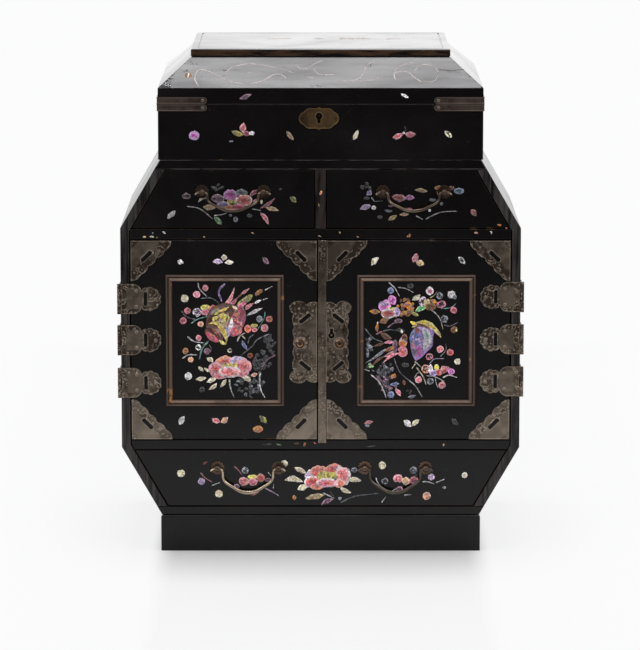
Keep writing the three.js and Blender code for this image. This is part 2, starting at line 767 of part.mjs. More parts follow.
// A flush front with a dovetailed tray behind it, all following the slope of the body
function makeDrawer(low, high, left, right, handles) {
  const front = bodySection(low + drawerGap, high - drawerGap, wallThickness + drawerGap, left, right);
  const tray = bodySection(
    low + drawerGap, high - drawerGap - trayDrop, wallThickness + drawerGap + trayInset,
    left + trayInset, right - trayInset,
  );
  const hollowInset = wallThickness + drawerGap + trayInset + drawerSide;
  const hollow = bodySection(
    low + drawerGap + drawerFloor, high + cutterRun, hollowInset,
    left + trayInset + drawerSide, right - trayInset - drawerSide,
  );
  const face = prism(front, frontFace, frontFace + drawerFrontThickness, doorEdgeBevel);
  const body = prism(tray, frontFace + drawerFrontThickness / 2, trayBack);
  const pocket = prism(hollow, frontFace + drawerFrontThickness, trayBack - drawerBack);
  const drawer = solidOf(face).add(solidOf(body).subtract(solidOf(pocket)));
  return handles.reduce((whole, eye) => whole.add(eye), drawer);
}

// A bar along a curve that lies in X and Z, with an oval section that may change along it
function sweptBar(points, steps, sides, halfHeightAt, halfDepth) {
  const curve = new THREE.CatmullRomCurve3(points, false, 'centripetal');
  const positions = [];
  const faces = [];
  for (let i = 0; i <= steps; i += 1) {
    const centre = curve.getPointAt(i / steps);
    const along = curve.getTangentAt(i / steps);
    const across = new THREE.Vector3(-along.z, 0, along.x);
    for (let j = 0; j < sides; j += 1) {
      const angle = (j / sides) * 2 * Math.PI;
      const point = centre.clone().addScaledVector(across, halfHeightAt(i / steps) * Math.cos(angle));
      positions.push(point.x, point.y + halfDepth * Math.sin(angle), point.z);
    }
  }
  for (let i = 0; i < steps; i += 1) {
    for (let j = 0; j < sides; j += 1) {
      const a = i * sides + j;
      const b = i * sides + ((j + 1) % sides);
      faces.push(a, a + sides, b, b, a + sides, b + sides);
    }
  }
  const last = steps * sides;
  for (let j = 1; j < sides - 1; j += 1) {
    faces.push(0, j, j + 1, last, last + j + 1, last + j);
  }
  const geometry = new THREE.BufferGeometry();
  geometry.setAttribute('position', new THREE.Float32BufferAttribute(positions, 3));
  geometry.setIndex(faces);
  return geometry;
}

// A bail: straight necks drop from the eyes to a swag that swells towards its middle,
// and its ends pass out through the eyes and turn down
function makeBail(drop, fullness) {
  const eye = handleSpacing / 2;
  const inner = eye - bailNeck;
  const outer = eye + bailNeck;
  const half = [
    [outer + bailTail, -bailTail], [outer + 0.5 * bailTail, -0.25 * bailTail],
    [outer, 0], [eye, 0], [inner, 0],
    [inner - 0.8, -1.1], [inner - 1, -0.42 * drop], [inner - 3.2, -0.58 * drop],
    [inner - 8, -0.75 * drop], [inner - 14, -0.95 * drop],
  ];
  const left = half.map(([x, z]) => new THREE.Vector3(-x, 0, z));
  const right = half.map(([x, z]) => new THREE.Vector3(x, 0, z)).reverse();
  const points = [...left, new THREE.Vector3(0, 0, -drop), ...right];
  const swell = (share) => Math.sin(Math.PI * Math.min(1, Math.max(0, 1.6 * share - 0.3))) ** 2;
  const halfHeightAt = (share) => bailRadius + (fullness - bailRadius) * swell(share);
  return sweptBar(points, 30, 8, halfHeightAt, bailRadius);
}

function makeInnerDrawer(low, high) {
  const reach = bodyWidth / 2 - wallThickness - drawerGap;
  const blank = box(-reach, reach, innerFront, trayBack, low + drawerGap, high - drawerGap);
  const pocket = box(
    drawerSide - reach, reach - drawerSide,
    innerFront + drawerFrontThickness, trayBack - drawerBack,
    low + drawerGap + drawerFloor, high + cutterRun,
  );
  const knob = turned([
    [0, -1], [0.5 * innerKnobRadius, -1], [0.45 * innerKnobRadius, 0.4 * innerKnobReach],
    [innerKnobRadius, 0.7 * innerKnobReach], [0.8 * innerKnobRadius, innerKnobReach], [0, innerKnobReach],
  ], 16);
  knob.translate(0, innerFront, (low + high) / 2);
  return solidOf(blank).subtract(solidOf(pocket)).add(solidOf(knob));
}

const cabinet = new THREE.Group();

function addBody() {
  const body = new THREE.Group();
  const board = (low, high, inset) => {
    const outline = bodySection(low, high, inset);
    return prism(outline, frontFace, backInside, boardEdgeBevel);
  };
  body.add(pieceOf('base_plinth', makePlinth(), lacquer));
  body.add(pieceOf('floor_board', board(bodyBottom, wallBottom, 0), lacquer));
  body.add(pieceOf('left_side_wall', sideWall(-1), lacquer));
  body.add(pieceOf('right_side_wall', sideWall(1), lacquer));
  body.add(pieceOf('ceiling_board', board(wallTop, bodyTop, 0), lacquer));
  const backPanel = prism(bodySection(bodyBottom, bodyTop, 0), backInside, backFace);
  body.add(pieceOf('back_panel', backPanel, lacquer));
  const seat = wallThickness + seatGap;
  body.add(pieceOf('lower_shelf', board(lowerRailBottom, lowerRailTop, seat), lacquer));
  body.add(pieceOf('upper_shelf', board(upperRailBottom, upperRailTop, seat), lacquer));
  const dividerEdge = rectangle(-dividerThickness / 2, dividerThickness / 2, upperRailTop, wallTop);
  body.add(pieceOf('drawer_divider', prism(dividerEdge, frontFace, backInside, boardEdgeBevel), lacquer));
  const clearHeight = upperRailBottom - lowerRailTop;
  const innerOpening = (clearHeight - (innerDrawerCount - 1) * innerBoardThickness) / innerDrawerCount;
  for (let i = 1; i < innerDrawerCount; i += 1) {
    const low = lowerRailTop + i * innerOpening + (i - 1) * innerBoardThickness;
    const reach = bodyWidth / 2 - seat;
    const innerBoard = box(-reach, reach, innerFront, backInside, low, low + innerBoardThickness);
    body.add(pieceOf(`inner_board_${i}`, innerBoard, innerLacquer));
  }
  cabinet.add(body);
  return innerOpening;
}

function addTopBox() {
  const top = new THREE.Group();
  top.add(pieceOf('box_walls', makeBoxWalls(), lacquer));
  top.add(pieceOf('box_escutcheon', makeEscutcheon(), bronze));
  top.add(pieceOf('lid_lock', makeLidLock(), lockBrass));
  top.add(pieceOf('left_box_strap', cornerStrap(-1, seamHeight - strapWidth), bronze));
  top.add(pieceOf('right_box_strap', cornerStrap(1, seamHeight - strapWidth), bronze));
  cabinet.add(top);

  const lid = new THREE.Group();
  lid.add(pieceOf('lid_shell', makeLidShell(), lacquer));
  lid.add(pieceOf('lid_top_panel', makeLidPanel(), lacquer));
  lid.add(pieceOf('left_lid_strap', cornerStrap(-1, lidBottom), bronze));
  lid.add(pieceOf('right_lid_strap', cornerStrap(1, lidBottom), bronze));
  cabinet.add(lid);

  for (const [side, word] of [[-1, 'left'], [1, 'right']]) {
    const place = [side * lidHingePlace, boxHalfDepth + lidHingePinOffset, (seamHeight + lidBottom) / 2];
    const fixed = pieceOf(`${word}_lid_hinge_box_leaf`, lidHingeLeaf(true), lockBrass);
    aim(fixed, [0, 0, -1], [0, -1, 0], [-1, 0, 0]).position.set(...place);
    top.add(fixed);
    const moving = pieceOf(`${word}_lid_hinge_lid_leaf`, lidHingeLeaf(false), lockBrass);
    aim(moving, [0, 0, 1], [0, -1, 0], [1, 0, 0]).position.set(...place);
    lid.add(moving);
  }
}

// One door with its moulding, mounts and hinge leaves; the body's leaves go with the cabinet
function addDoor(side, word, panelFromSeam, hinges) {
  const door = new THREE.Group();
  const edge = side < 0 ? leftDoorEdge : rightDoorEdge;
  const inner = side < 0 ? leftDoorEdge : rightDoorEdge + coverStripWidth;
  const plateWidth = side < 0 ? lockPlateWidth + 1 : lockPlateWidth - 1;
  const bites = side < 0
    ? [boltPocket(edge - boltThrow - boltClearance, edge + cutterRun)]
    : [
      boltPocket(edge - cutterRun, edge + boltLength + boltClearance),
      keyhole(doorKeyholePlace, doorKeyholeHeight, frontFace - cutterRun, frontFace + doorKeyholeDepth, 1),
    ];
  const left = side < 0 ? -doorOuterEdge : edge;
  const right = side < 0 ? edge : doorOuterEdge;
  door.add(pieceOf(`${word}_door_board`, makeDoor(left, right, bites), lacquer));

  const panelLeft = left + (side < 0 ? panelFromOuterEdge : panelFromSeam);
  const panelRight = right - (side < 0 ? panelFromSeam : panelFromOuterEdge);
  const panelLow = doorMiddle - doorHeight / 2 + panelFromBottom;
  const panelHigh = doorMiddle + doorHeight / 2 - panelFromTop;
  const frame = makeMoulding(panelRight - panelLeft, panelHigh - panelLow);
  const moulding = pieceOf(`${word}_door_moulding`, frame, brownMoulding);
  moulding.position.set((panelLeft + panelRight) / 2, frontFace, (panelLow + panelHigh) / 2);
  door.add(moulding);

  if (side < 0) {
    // This plate is turned half round, so its boss drops towards its own top
    const lockForm = makeLockPlate(plateWidth, leftBossFromSeam, bossDrop);
    const plate = pieceOf('left_lock_plate', lockForm, greyMetal);
    aim(plate, [-1, 0, 0], [0, 1, 0], [0, 0, -1]).position.set(inner, frontFace, lockPlateMiddle);
    door.add(plate);
  } else {
    const lockForm = makeLockPlate(plateWidth, rightBossFromStrip, -bossDrop);
    const x = doorKeyholePlace - inner;
    const z = doorKeyholeHeight - lockPlateMiddle;
    const hole = keyhole(x, z, -plateThickness - cutterRun, cutterRun, 1);
    const plate = pieceOf('right_lock_plate', lockForm.subtract(hole), greyMetal);
    plate.position.set(inner, frontFace, lockPlateMiddle);
    door.add(plate);
  }

  const low = doorMiddle - doorHeight / 2 + cornerPlateInset;
  const high = doorMiddle + doorHeight / 2 - cornerPlateInset;
  const west = (side < 0 ? left : inner) + cornerPlateInset;
  const east = right - cornerPlateInset;
  const corners = [
    ['bottom_left', west, low, [1, 0, 0], [0, 0, 1]],
    ['bottom_right', east, low, [0, 0, 1], [-1, 0, 0]],
    ['top_right', east, high, [-1, 0, 0], [0, 0, -1]],
    ['top_left', west, high, [0, 0, -1], [1, 0, 0]],
  ];
  for (const [place, x, z, alongX, alongZ] of corners) {
    const plate = pieceOf(`${word}_door_${place}_plate`, makeCornerPlate(), greyMetal);
    aim(plate, alongX, [0, 1, 0], alongZ).position.set(x, frontFace, z);
    door.add(plate);
  }
  cabinet.add(door);

  const heights = [
    doorMiddle + doorHeight / 2 - hinges.fromTop,
    doorMiddle + hinges.aboveMiddle,
    doorMiddle - doorHeight / 2 + hinges.fromBottom,
  ];
  heights.forEach((height, i) => {
    const moving = pieceOf(`${word}_hinge_${i + 1}_door_leaf`, sideHingeLeaf(false), greyMetal);
    aim(moving, [-side, 0, 0], [0, 1, 0], [0, 0, -side]).position.set(side * pinPlace, pinFront, height);
    door.add(moving);
    const fixed = pieceOf(`${word}_hinge_${i + 1}_wall_leaf`, sideHingeLeaf(true), greyMetal);
    aim(fixed, [0, 1, 0], [-side, 0, 0], [0, 0, side]).position.set(side * pinPlace, pinFront, height);
    cabinet.add(fixed);
  });
  return door;
}

// The strip and the bolt belong to the right door
function addStripAndBolt(rightDoor) {
  const low = lowerRailTop - coverStripOverhang;
  const high = upperRailBottom - doorGap;
  const outline = rectangle(rightDoorEdge, rightDoorEdge + coverStripWidth, low, high);
  const strip = prism(outline, frontFace - coverStripThickness, frontFace, boardEdgeBevel);
  rightDoor.add(pieceOf('door_cover_strip', strip, greyMetal));
  const start = rightDoorEdge + boltClearance;
  const bolt = box(
    start, start + boltLength - boltClearance,
    boltMiddle - boltThickness / 2, boltMiddle + boltThickness / 2,
    doorKeyholeHeight - boltHeight / 2, doorKeyholeHeight + boltHeight / 2,
  );
  cabinet.add(pieceOf('door_lock_bolt', bolt, lockBrass));
}

function addDrawers(innerOpening) {
  const uppers = [
    ['upper_left', -Infinity, -dividerThickness / 2 - drawerGap, leftUpperHandlePlace],
    ['upper_right', dividerThickness / 2 + drawerGap, Infinity, rightUpperHandlePlace],
  ];
  const addBail = (word, place, height, drop, fullness) => {
    const bail = pieceOf(`${word}_bail`, makeBail(drop, fullness), bronze);
    bail.position.set(place, frontFace - eyeDistance, height);
    cabinet.add(bail);
  };
  for (const [word, left, right, place] of uppers) {
    const drawer = makeDrawer(upperRailTop, wallTop, left, right, handleEyes(place, upperHandleHeight));
    cabinet.add(pieceOf(`${word}_drawer`, drawer, lacquer));
    addBail(word, place, upperHandleHeight, upperBailDrop, upperBailFullness);
  }
  const lowerPlaces = [leftLowerHandlePlace, rightLowerHandlePlace];
  const eyes = lowerPlaces.flatMap((place) => handleEyes(place, lowerHandleHeight));
  const bottom = makeDrawer(wallBottom, lowerRailBottom, -Infinity, Infinity, eyes);
  cabinet.add(pieceOf('bottom_drawer', bottom, lacquer));
  addBail('bottom_left', leftLowerHandlePlace, lowerHandleHeight, lowerBailDrop, lowerBailFullness);
  addBail('bottom_right', rightLowerHandlePlace, lowerHandleHeight, lowerBailDrop, lowerBailFullness);
  for (let i = 0; i < innerDrawerCount; i += 1) {
    const low = lowerRailTop + i * (innerOpening + innerBoardThickness);
    cabinet.add(pieceOf(`inner_drawer_${i + 1}`, makeInnerDrawer(low, low + innerOpening), innerLacquer));
  }
}

const innerOpening = addBody();
addTopBox();
addDoor(-1, 'left', leftPanelFromSeam, leftHinges);
const rightDoor = addDoor(1, 'right', rightPanelFromSeam, rightHinges);
addStripAndBolt(rightDoor);
addDrawers(innerOpening);

export default cabinet;
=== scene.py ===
# Dresses the black-lacquered table cabinet: lacquer, shell inlay, engraved mounts, mouldings and bails.
import json
import math
import random

import bmesh
import bpy
from mathutils import Matrix, Vector, noise


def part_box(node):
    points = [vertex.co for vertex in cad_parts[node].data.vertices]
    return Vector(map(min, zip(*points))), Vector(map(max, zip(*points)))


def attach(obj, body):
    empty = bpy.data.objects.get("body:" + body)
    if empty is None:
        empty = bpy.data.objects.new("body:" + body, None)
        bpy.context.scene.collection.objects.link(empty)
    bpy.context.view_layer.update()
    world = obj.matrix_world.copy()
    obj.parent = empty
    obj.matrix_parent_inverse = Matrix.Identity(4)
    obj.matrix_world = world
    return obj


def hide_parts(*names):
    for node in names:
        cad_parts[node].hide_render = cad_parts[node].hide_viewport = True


bl_info = {
    "name": "Lacquer Cabinet",
    "version": (1, 0, 0),
    "blender": (4, 5, 0),
    "location": "3D View > Sidebar > Cabinet",
    "description": "Finishes a lacquered table cabinet with shell inlay and metal mounts",
    "category": "Object",
}

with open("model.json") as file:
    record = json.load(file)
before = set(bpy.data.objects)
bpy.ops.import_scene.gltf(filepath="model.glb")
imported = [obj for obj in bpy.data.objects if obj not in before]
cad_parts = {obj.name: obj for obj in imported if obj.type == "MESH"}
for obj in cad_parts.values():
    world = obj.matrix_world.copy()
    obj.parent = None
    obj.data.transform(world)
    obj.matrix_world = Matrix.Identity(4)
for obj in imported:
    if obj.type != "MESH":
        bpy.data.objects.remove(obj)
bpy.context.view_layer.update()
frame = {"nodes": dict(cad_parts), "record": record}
nodes = frame["nodes"]
mm = 0.001

SIDES = (("left", -1), ("right", 1))
FACING_FRONT = Vector((0, -1, 0))
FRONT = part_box("left_door_board")[0].y


def tone(red, green, blue):
    """A colour written as 0 to 255, as the linear values that sockets take."""
    shares = (red / 255, green / 255, blue / 255)
    return tuple(((c + 0.055) / 1.055) ** 2.4 if c > 0.04 else c / 12.92 for c in shares)


# Sizes and colours that a user would change
def colour_property(name, description, default):
    return bpy.props.FloatVectorProperty(
        name=name, description=description, subtype="COLOR", size=3, min=0, max=1, default=default
    )


def length_property(name, description, millimetres):
    return bpy.props.FloatProperty(
        name=name, description=description, subtype="DISTANCE", unit="LENGTH", min=0, default=millimetres * mm
    )


def share_property(name, description, default):
    return bpy.props.FloatProperty(
        name=name, description=description, subtype="FACTOR", min=0, max=1, default=default
    )


def power_property(name, description, watts):
    return bpy.props.FloatProperty(
        name=name, description=description, subtype="POWER", unit="POWER", default=watts
    )


class LacquerSettings(bpy.types.PropertyGroup):
    black: colour_property("Black", "Colour of the outer lacquer", (0.003, 0.0024, 0.0025))
    inner: colour_property("Inner", "Lacquer inside the drawers and behind the doors", tone(58, 26, 18))
    ground: colour_property("Ground", "Brown ground that shows where an edge is worn", tone(92, 62, 44))
    gloss: share_property("Roughness", "Roughness of the clean outer lacquer", 0.13)
    wear: share_property("Wear", "How much of the edges is worn", 0.5)
    rounding: length_property("Rounding", "How far the boards' edges are worn round", 0.4)
    ledge: length_property("Ledge", "How far the edge under the top box is worn round", 0.9)


class MouldingSettings(bpy.types.PropertyGroup):
    ridge: colour_property("Ridge", "Worn wood on the raised parts", tone(132, 108, 92))
    hollow: colour_property("Hollow", "Old lacquer left in the hollows", tone(38, 26, 20))
    rounding: length_property("Rounding", "How far the moulding's edges are worn round", 0.22)


class MountSettings(bpy.types.PropertyGroup):
    metal: colour_property("Metal", "Bare metal of the door mounts and hinges", tone(146, 134, 120))
    patina: colour_property("Patina", "Dark film on the door mounts and hinges", tone(54, 45, 39))
    bronze: colour_property("Bronze", "Bare metal of the upper bails", tone(168, 148, 128))
    brown: colour_property("Brown", "Dark film on the upper bails", tone(62, 52, 46))
    rim: length_property("Rim", "Width of the raised rim of a plate", 0.55)
    groove: length_property("Groove", "Depth of the field inside the rim", 0.16)


class InlaySettings(bpy.types.PropertyGroup):
    proud: length_property("Proud", "How far the lowest layer of shell stands above the lacquer", 0.05)
    layer: length_property("Layer", "How much higher each further piece stands", 0.0015)
    depth: length_property("Depth", "Thickness of a piece of shell", 0.6)


class StageSettings(bpy.types.PropertyGroup):
    floor: colour_property("Floor", "Colour of the floor", (0.82, 0.82, 0.825))
    lens: bpy.props.FloatProperty(
        name="Lens", description="Focal length of the camera", subtype="DISTANCE_CAMERA", default=216.55
    )
    distance: length_property("Distance", "From the camera to the front of the cabinet", 2896)
    height: length_property("Height", "Height of the camera over the floor", 658)
    pitch: bpy.props.FloatProperty(
        name="Pitch", description="How far the camera looks down", subtype="ANGLE", unit="ROTATION",
        default=math.radians(9.5),
    )
    top_light: power_property("Top light", "Power of the softbox overhead", 19)
    front_light: power_property("Front light", "Power of each softbox in front", 15)
    back_light: power_property("Back light", "Power of the panel behind", 21)


# Placing and joining shader nodes
def feed(tree, socket, value):
    if isinstance(value, bpy.types.NodeSocket):
        tree.links.new(value, socket)
    else:
        socket.default_value = value


def place(tree, kind, inputs=None, **settings):
    node = tree.nodes.new(kind)
    for name, value in settings.items():
        setattr(node, name, value)
    for name, value in (inputs or {}).items():
        feed(tree, node.inputs[name], value)
    return node


def work_out(tree, operation, first, second=0.0, third=0.0, clamp=False):
    values = {0: first, 1: second, 2: third}
    return place(tree, "ShaderNodeMath", values, operation=operation, use_clamp=clamp).outputs[0]


def times(tree, first, second):
    return work_out(tree, "MULTIPLY", first, second)


def larger(tree, first, second):
    return work_out(tree, "MAXIMUM", first, second)


def axes(tree, vector):
    return place(tree, "ShaderNodeSeparateXYZ", {0: vector}).outputs


def attribute(tree, name, output="Fac"):
    return place(tree, "ShaderNodeAttribute", attribute_name=name).outputs[output]


def between(tree, value, low, high, low_out=0.0, high_out=1.0):
    """Eases a value from one range into another."""
    values = {"Value": value, "From Min": low, "From Max": high, "To Min": low_out, "To Max": high_out}
    return place(tree, "ShaderNodeMapRange", values, interpolation_type="SMOOTHSTEP").outputs[0]


def blend(tree, factor, first, second, how="MIX"):
    node = place(tree, "ShaderNodeMix", {0: factor}, data_type="RGBA", blend_type=how)
    feed(tree, node.inputs[6], first)
    feed(tree, node.inputs[7], second)
    return node.outputs[2]


def cloudiness(tree, vector, scale, detail=3.0, roughness=0.55, distortion=0.0):
    values = {
        "Vector": vector, "Scale": scale, "Detail": detail, "Roughness": roughness, "Distortion": distortion,
    }
    return place(tree, "ShaderNodeTexNoise", values).outputs[0]


def cells(tree, vector, scale, feature="F1"):
    values = {"Vector": vector, "Scale": scale}
    return place(tree, "ShaderNodeTexVoronoi", values, feature=feature).outputs["Distance"]


def stretched(tree, vector, scale, turn=(0.0, 0.0, 0.0)):
    values = {"Vector": vector, "Scale": scale, "Rotation": turn}
    return place(tree, "ShaderNodeMapping", values).outputs[0]


def opaque(colour):
    return (*colour, 1.0)


def group_tree(name, inputs, outputs):
    """A new shader node group, with its input and output nodes."""
    tree = bpy.data.node_groups.new(name, "ShaderNodeTree")
    for label, kind, default in inputs:
        socket = tree.interface.new_socket(label, in_out="INPUT", socket_type=kind)
        if default is not None:
            socket.default_value = default
    for label, kind in outputs:
        tree.interface.new_socket(label, in_out="OUTPUT", socket_type=kind)
    return tree, tree.nodes.new("NodeGroupInput"), tree.nodes.new("NodeGroupOutput")


FLOAT = "NodeSocketFloat"
COLOUR = "NodeSocketColor"
VECTOR = "NodeSocketVector"


def edge_wear_group():
    """Mask of rubbed edges: where the surface bends sharply, broken up by noise."""
    tree, given, result = group_tree(
        "Edge Wear",
        [
            ("Vector", VECTOR, None), ("Radius", FLOAT, 0.0006), ("Breakup", FLOAT, 90.0),
            ("Amount", FLOAT, 0.5),
        ],
        [("Mask", FLOAT), ("Edge", FLOAT)],
    )
    rounded = place(tree, "ShaderNodeBevel", {"Radius": given.outputs["Radius"]}, samples=4)
    surface = place(tree, "ShaderNodeNewGeometry")
    facing = place(tree, "ShaderNodeVectorMath", {0: rounded.outputs[0], 1: surface.outputs["Normal"]},
                   operation="DOT_PRODUCT").outputs["Value"]
    sharp = between(tree, work_out(tree, "SUBTRACT", 1.0, facing), 0.01, 0.16)
    patches = cloudiness(tree, given.outputs["Vector"], given.outputs["Breakup"], 4.0, 0.65)
    start = work_out(tree, "SUBTRACT", 0.78, times(tree, given.outputs["Amount"], 0.45))
    broken = between(tree, patches, start, work_out(tree, "ADD", start, 0.12))
    feed(tree, result.inputs["Mask"], times(tree, sharp, broken))
    feed(tree, result.inputs["Edge"], sharp)
    return tree


def dust_group():
    """Mask of dust, smears and hair scratches on a polished surface."""
    tree, given, result = group_tree(
        "Dust and Scratches",
        [("Vector", VECTOR, None), ("Dust Scale", FLOAT, 900.0), ("Scratch Scale", FLOAT, 60.0)],
        [("Dust", FLOAT), ("Scratches", FLOAT), ("Smear", FLOAT)],
    )
    vector = given.outputs["Vector"]
    specks = cells(tree, vector, given.outputs["Dust Scale"])
    sparse = cloudiness(tree, vector, 120.0, 2.0)
    dust = times(tree, between(tree, specks, 0.2, 0.08), between(tree, sparse, 0.58, 0.7))
    fine = stretched(tree, vector, (1.0, 1.0, 14.0), (0.3, 0.2, 0.5))
    lines = cloudiness(tree, fine, given.outputs["Scratch Scale"], 6.0, 0.7)
    feed(tree, result.inputs["Dust"], dust)
    feed(tree, result.inputs["Scratches"], between(tree, lines, 0.66, 0.72))
    feed(tree, result.inputs["Smear"], cloudiness(tree, vector, 11.0, 4.0, 0.6, 0.4))
    return tree


def patina_group():
    """Old metal: film and bare metal mixed by wear and made brighter low down, with engraved curls where a
    mask asks for them.
    """
    tree, given, result = group_tree(
        "Patina",
        [
            ("Vector", VECTOR, None), ("Film", COLOUR, None), ("Metal", COLOUR, None), ("Rubbed", FLOAT, 0.0),
            ("Engraved", FLOAT, 0.0), ("Curl Scale", FLOAT, 270.0), ("Brighter Low", FLOAT, 0.0),
        ],
        [("Color", COLOUR), ("Roughness", FLOAT), ("Height", FLOAT)],
    )
    vector = given.outputs["Vector"]
    curl_scale = given.outputs["Curl Scale"]
    rings = work_out(tree, "SINE", times(tree, cells(tree, vector, curl_scale), 11.0))
    curls = between(tree, rings, 0.1, 0.8)
    seams = between(tree, cells(tree, vector, curl_scale, "DISTANCE_TO_EDGE"), 0.02, 0.12)
    engraving = times(tree, times(tree, curls, seams), given.outputs["Engraved"])
    large = cloudiness(tree, vector, 70.0, 4.0, 0.6)
    fine = cloudiness(tree, vector, 1400.0, 3.0, 0.7)
    stain = between(tree, large, 0.35, 0.68)
    bare = work_out(tree, "ADD", times(tree, stain, 0.46), times(tree, fine, 0.22))
    bare = work_out(tree, "ADD", bare, times(tree, given.outputs["Rubbed"], 0.85))
    bare = work_out(tree, "ADD", bare, times(tree, engraving, 0.62))
    # Lower parts are made brighter
    bare = work_out(tree, "ADD", bare, given.outputs["Brighter Low"], clamp=True)
    sunk = work_out(tree, "SUBTRACT", given.outputs["Engraved"], engraving, clamp=True)
    bare = work_out(tree, "SUBTRACT", bare, times(tree, sunk, 0.34), clamp=True)
    feed(tree, result.inputs["Color"], blend(tree, bare, given.outputs["Film"], given.outputs["Metal"]))
    feed(tree, result.inputs["Roughness"], between(tree, bare, 0.0, 1.0, 0.48, 0.28))
    feed(tree, result.inputs["Height"], work_out(tree, "ADD", engraving, times(tree, fine, 0.25)))
    return tree


# Angles whose sine cuts ten lines across a flake and twenty bars along it
LINES_TURN = 62.8
BARS_TURN = 125.6


def nacre_group():
    """Nacre: a deep middle and a pale rim, clouded, with engraved lines along and bars across a flake."""
    tree, given, result = group_tree(
        "Nacre",
        [
            ("Vector", VECTOR, None), ("Along", FLOAT, 0.5), ("Across", FLOAT, 0.5), ("Deep", COLOUR, None),
            ("Pale", COLOUR, None), ("Lines", FLOAT, 0.0), ("Bars", FLOAT, 0.0), ("Rimmed", FLOAT, 0.0),
        ],
        [("Color", COLOUR), ("Roughness", FLOAT), ("Height", FLOAT)],
    )
    vector = given.outputs["Vector"]
    along = given.outputs["Along"]
    across = given.outputs["Across"]
    end = work_out(tree, "ABSOLUTE", work_out(tree, "MULTIPLY_ADD", along, 2.0, -1.0))
    side = work_out(tree, "ABSOLUTE", work_out(tree, "MULTIPLY_ADD", across, 2.0, -1.0))
    border = larger(tree, end, side)
    cloud = cloudiness(tree, vector, 400.0, 3.0, 0.65, 0.3)
    drift = cloudiness(tree, vector, 150.0, 2.0, 0.5)
    turned_vector = stretched(tree, vector, (1.0, 1.0, 1.0), (0.7, 1.1, 0.4))
    patches = cloudiness(tree, turned_vector, 760.0, 2.0, 0.5, 0.5)
    ragged = work_out(tree, "ADD", border, work_out(tree, "MULTIPLY_ADD", cloud, 3.0, -1.5))
    colour = blend(tree, between(tree, ragged, 0.5, 1.0), given.outputs["Deep"], given.outputs["Pale"])
    colour = blend(tree, between(tree, patches, 0.56, 0.62, 0.0, 0.8), colour, given.outputs["Pale"])
    shade = between(tree, patches, 0.44, 0.36, 0.0, 0.5)
    colour = blend(tree, shade, colour, (0.03, 0.018, 0.02, 1.0))
    colour = place(tree, "ShaderNodeHueSaturation", {
        "Hue": work_out(tree, "MULTIPLY_ADD", drift, 0.14, 0.43),
        "Saturation": between(tree, cloud, 0.35, 0.65, 0.6, 1.2),
        "Value": between(tree, cloud, 0.35, 0.65, 0.66, 1.28),
        "Color": colour,
    }).outputs[0]
    rim = times(tree, between(tree, border, 0.74, 0.88, 0.0, 0.85), given.outputs["Rimmed"])
    colour = blend(tree, rim, colour, given.outputs["Pale"])
    stripes = work_out(tree, "SINE", times(tree, across, times(tree, given.outputs["Lines"], LINES_TURN)))
    bars = work_out(tree, "SINE", times(tree, along, times(tree, given.outputs["Bars"], BARS_TURN)))
    cut = larger(tree, between(tree, stripes, 0.55, 0.95), between(tree, bars, 0.5, 0.95))
    feed(tree, result.inputs["Color"], blend(tree, times(tree, cut, 0.5), colour, (0.02, 0.012, 0.012, 1.0)))
    feed(tree, result.inputs["Roughness"], work_out(tree, "MULTIPLY_ADD", cloud, 0.25, 0.16))
    feed(tree, result.inputs["Height"], work_out(tree, "SUBTRACT", cloud, times(tree, cut, 1.5)))
    return tree


GROUPS = {
    "Edge Wear": edge_wear_group,
    "Dust and Scratches": dust_group,
    "Patina": patina_group,
    "Nacre": nacre_group,
}


def use_group(tree, name, inputs):
    node = tree.nodes.new("ShaderNodeGroup")
    node.node_tree = bpy.data.node_groups.get(name) or GROUPS[name]()
    for label, value in inputs.items():
        feed(tree, node.inputs[label], value)
    return node.outputs


def new_finish(name):
    """An empty material with its shader, and the object's own coordinates."""
    material = bpy.data.materials.new(name)
    material.use_nodes = True
    tree = material.node_tree
    shader = tree.nodes["Principled BSDF"]
    where = place(tree, "ShaderNodeTexCoord")
    return material, tree, shader, where


def bump(tree, shader, height, strength, distance):
    made = place(tree, "ShaderNodeBump", {"Height": height, "Strength": strength, "Distance": distance})
    feed(tree, shader.inputs["Normal"], made.outputs[0])


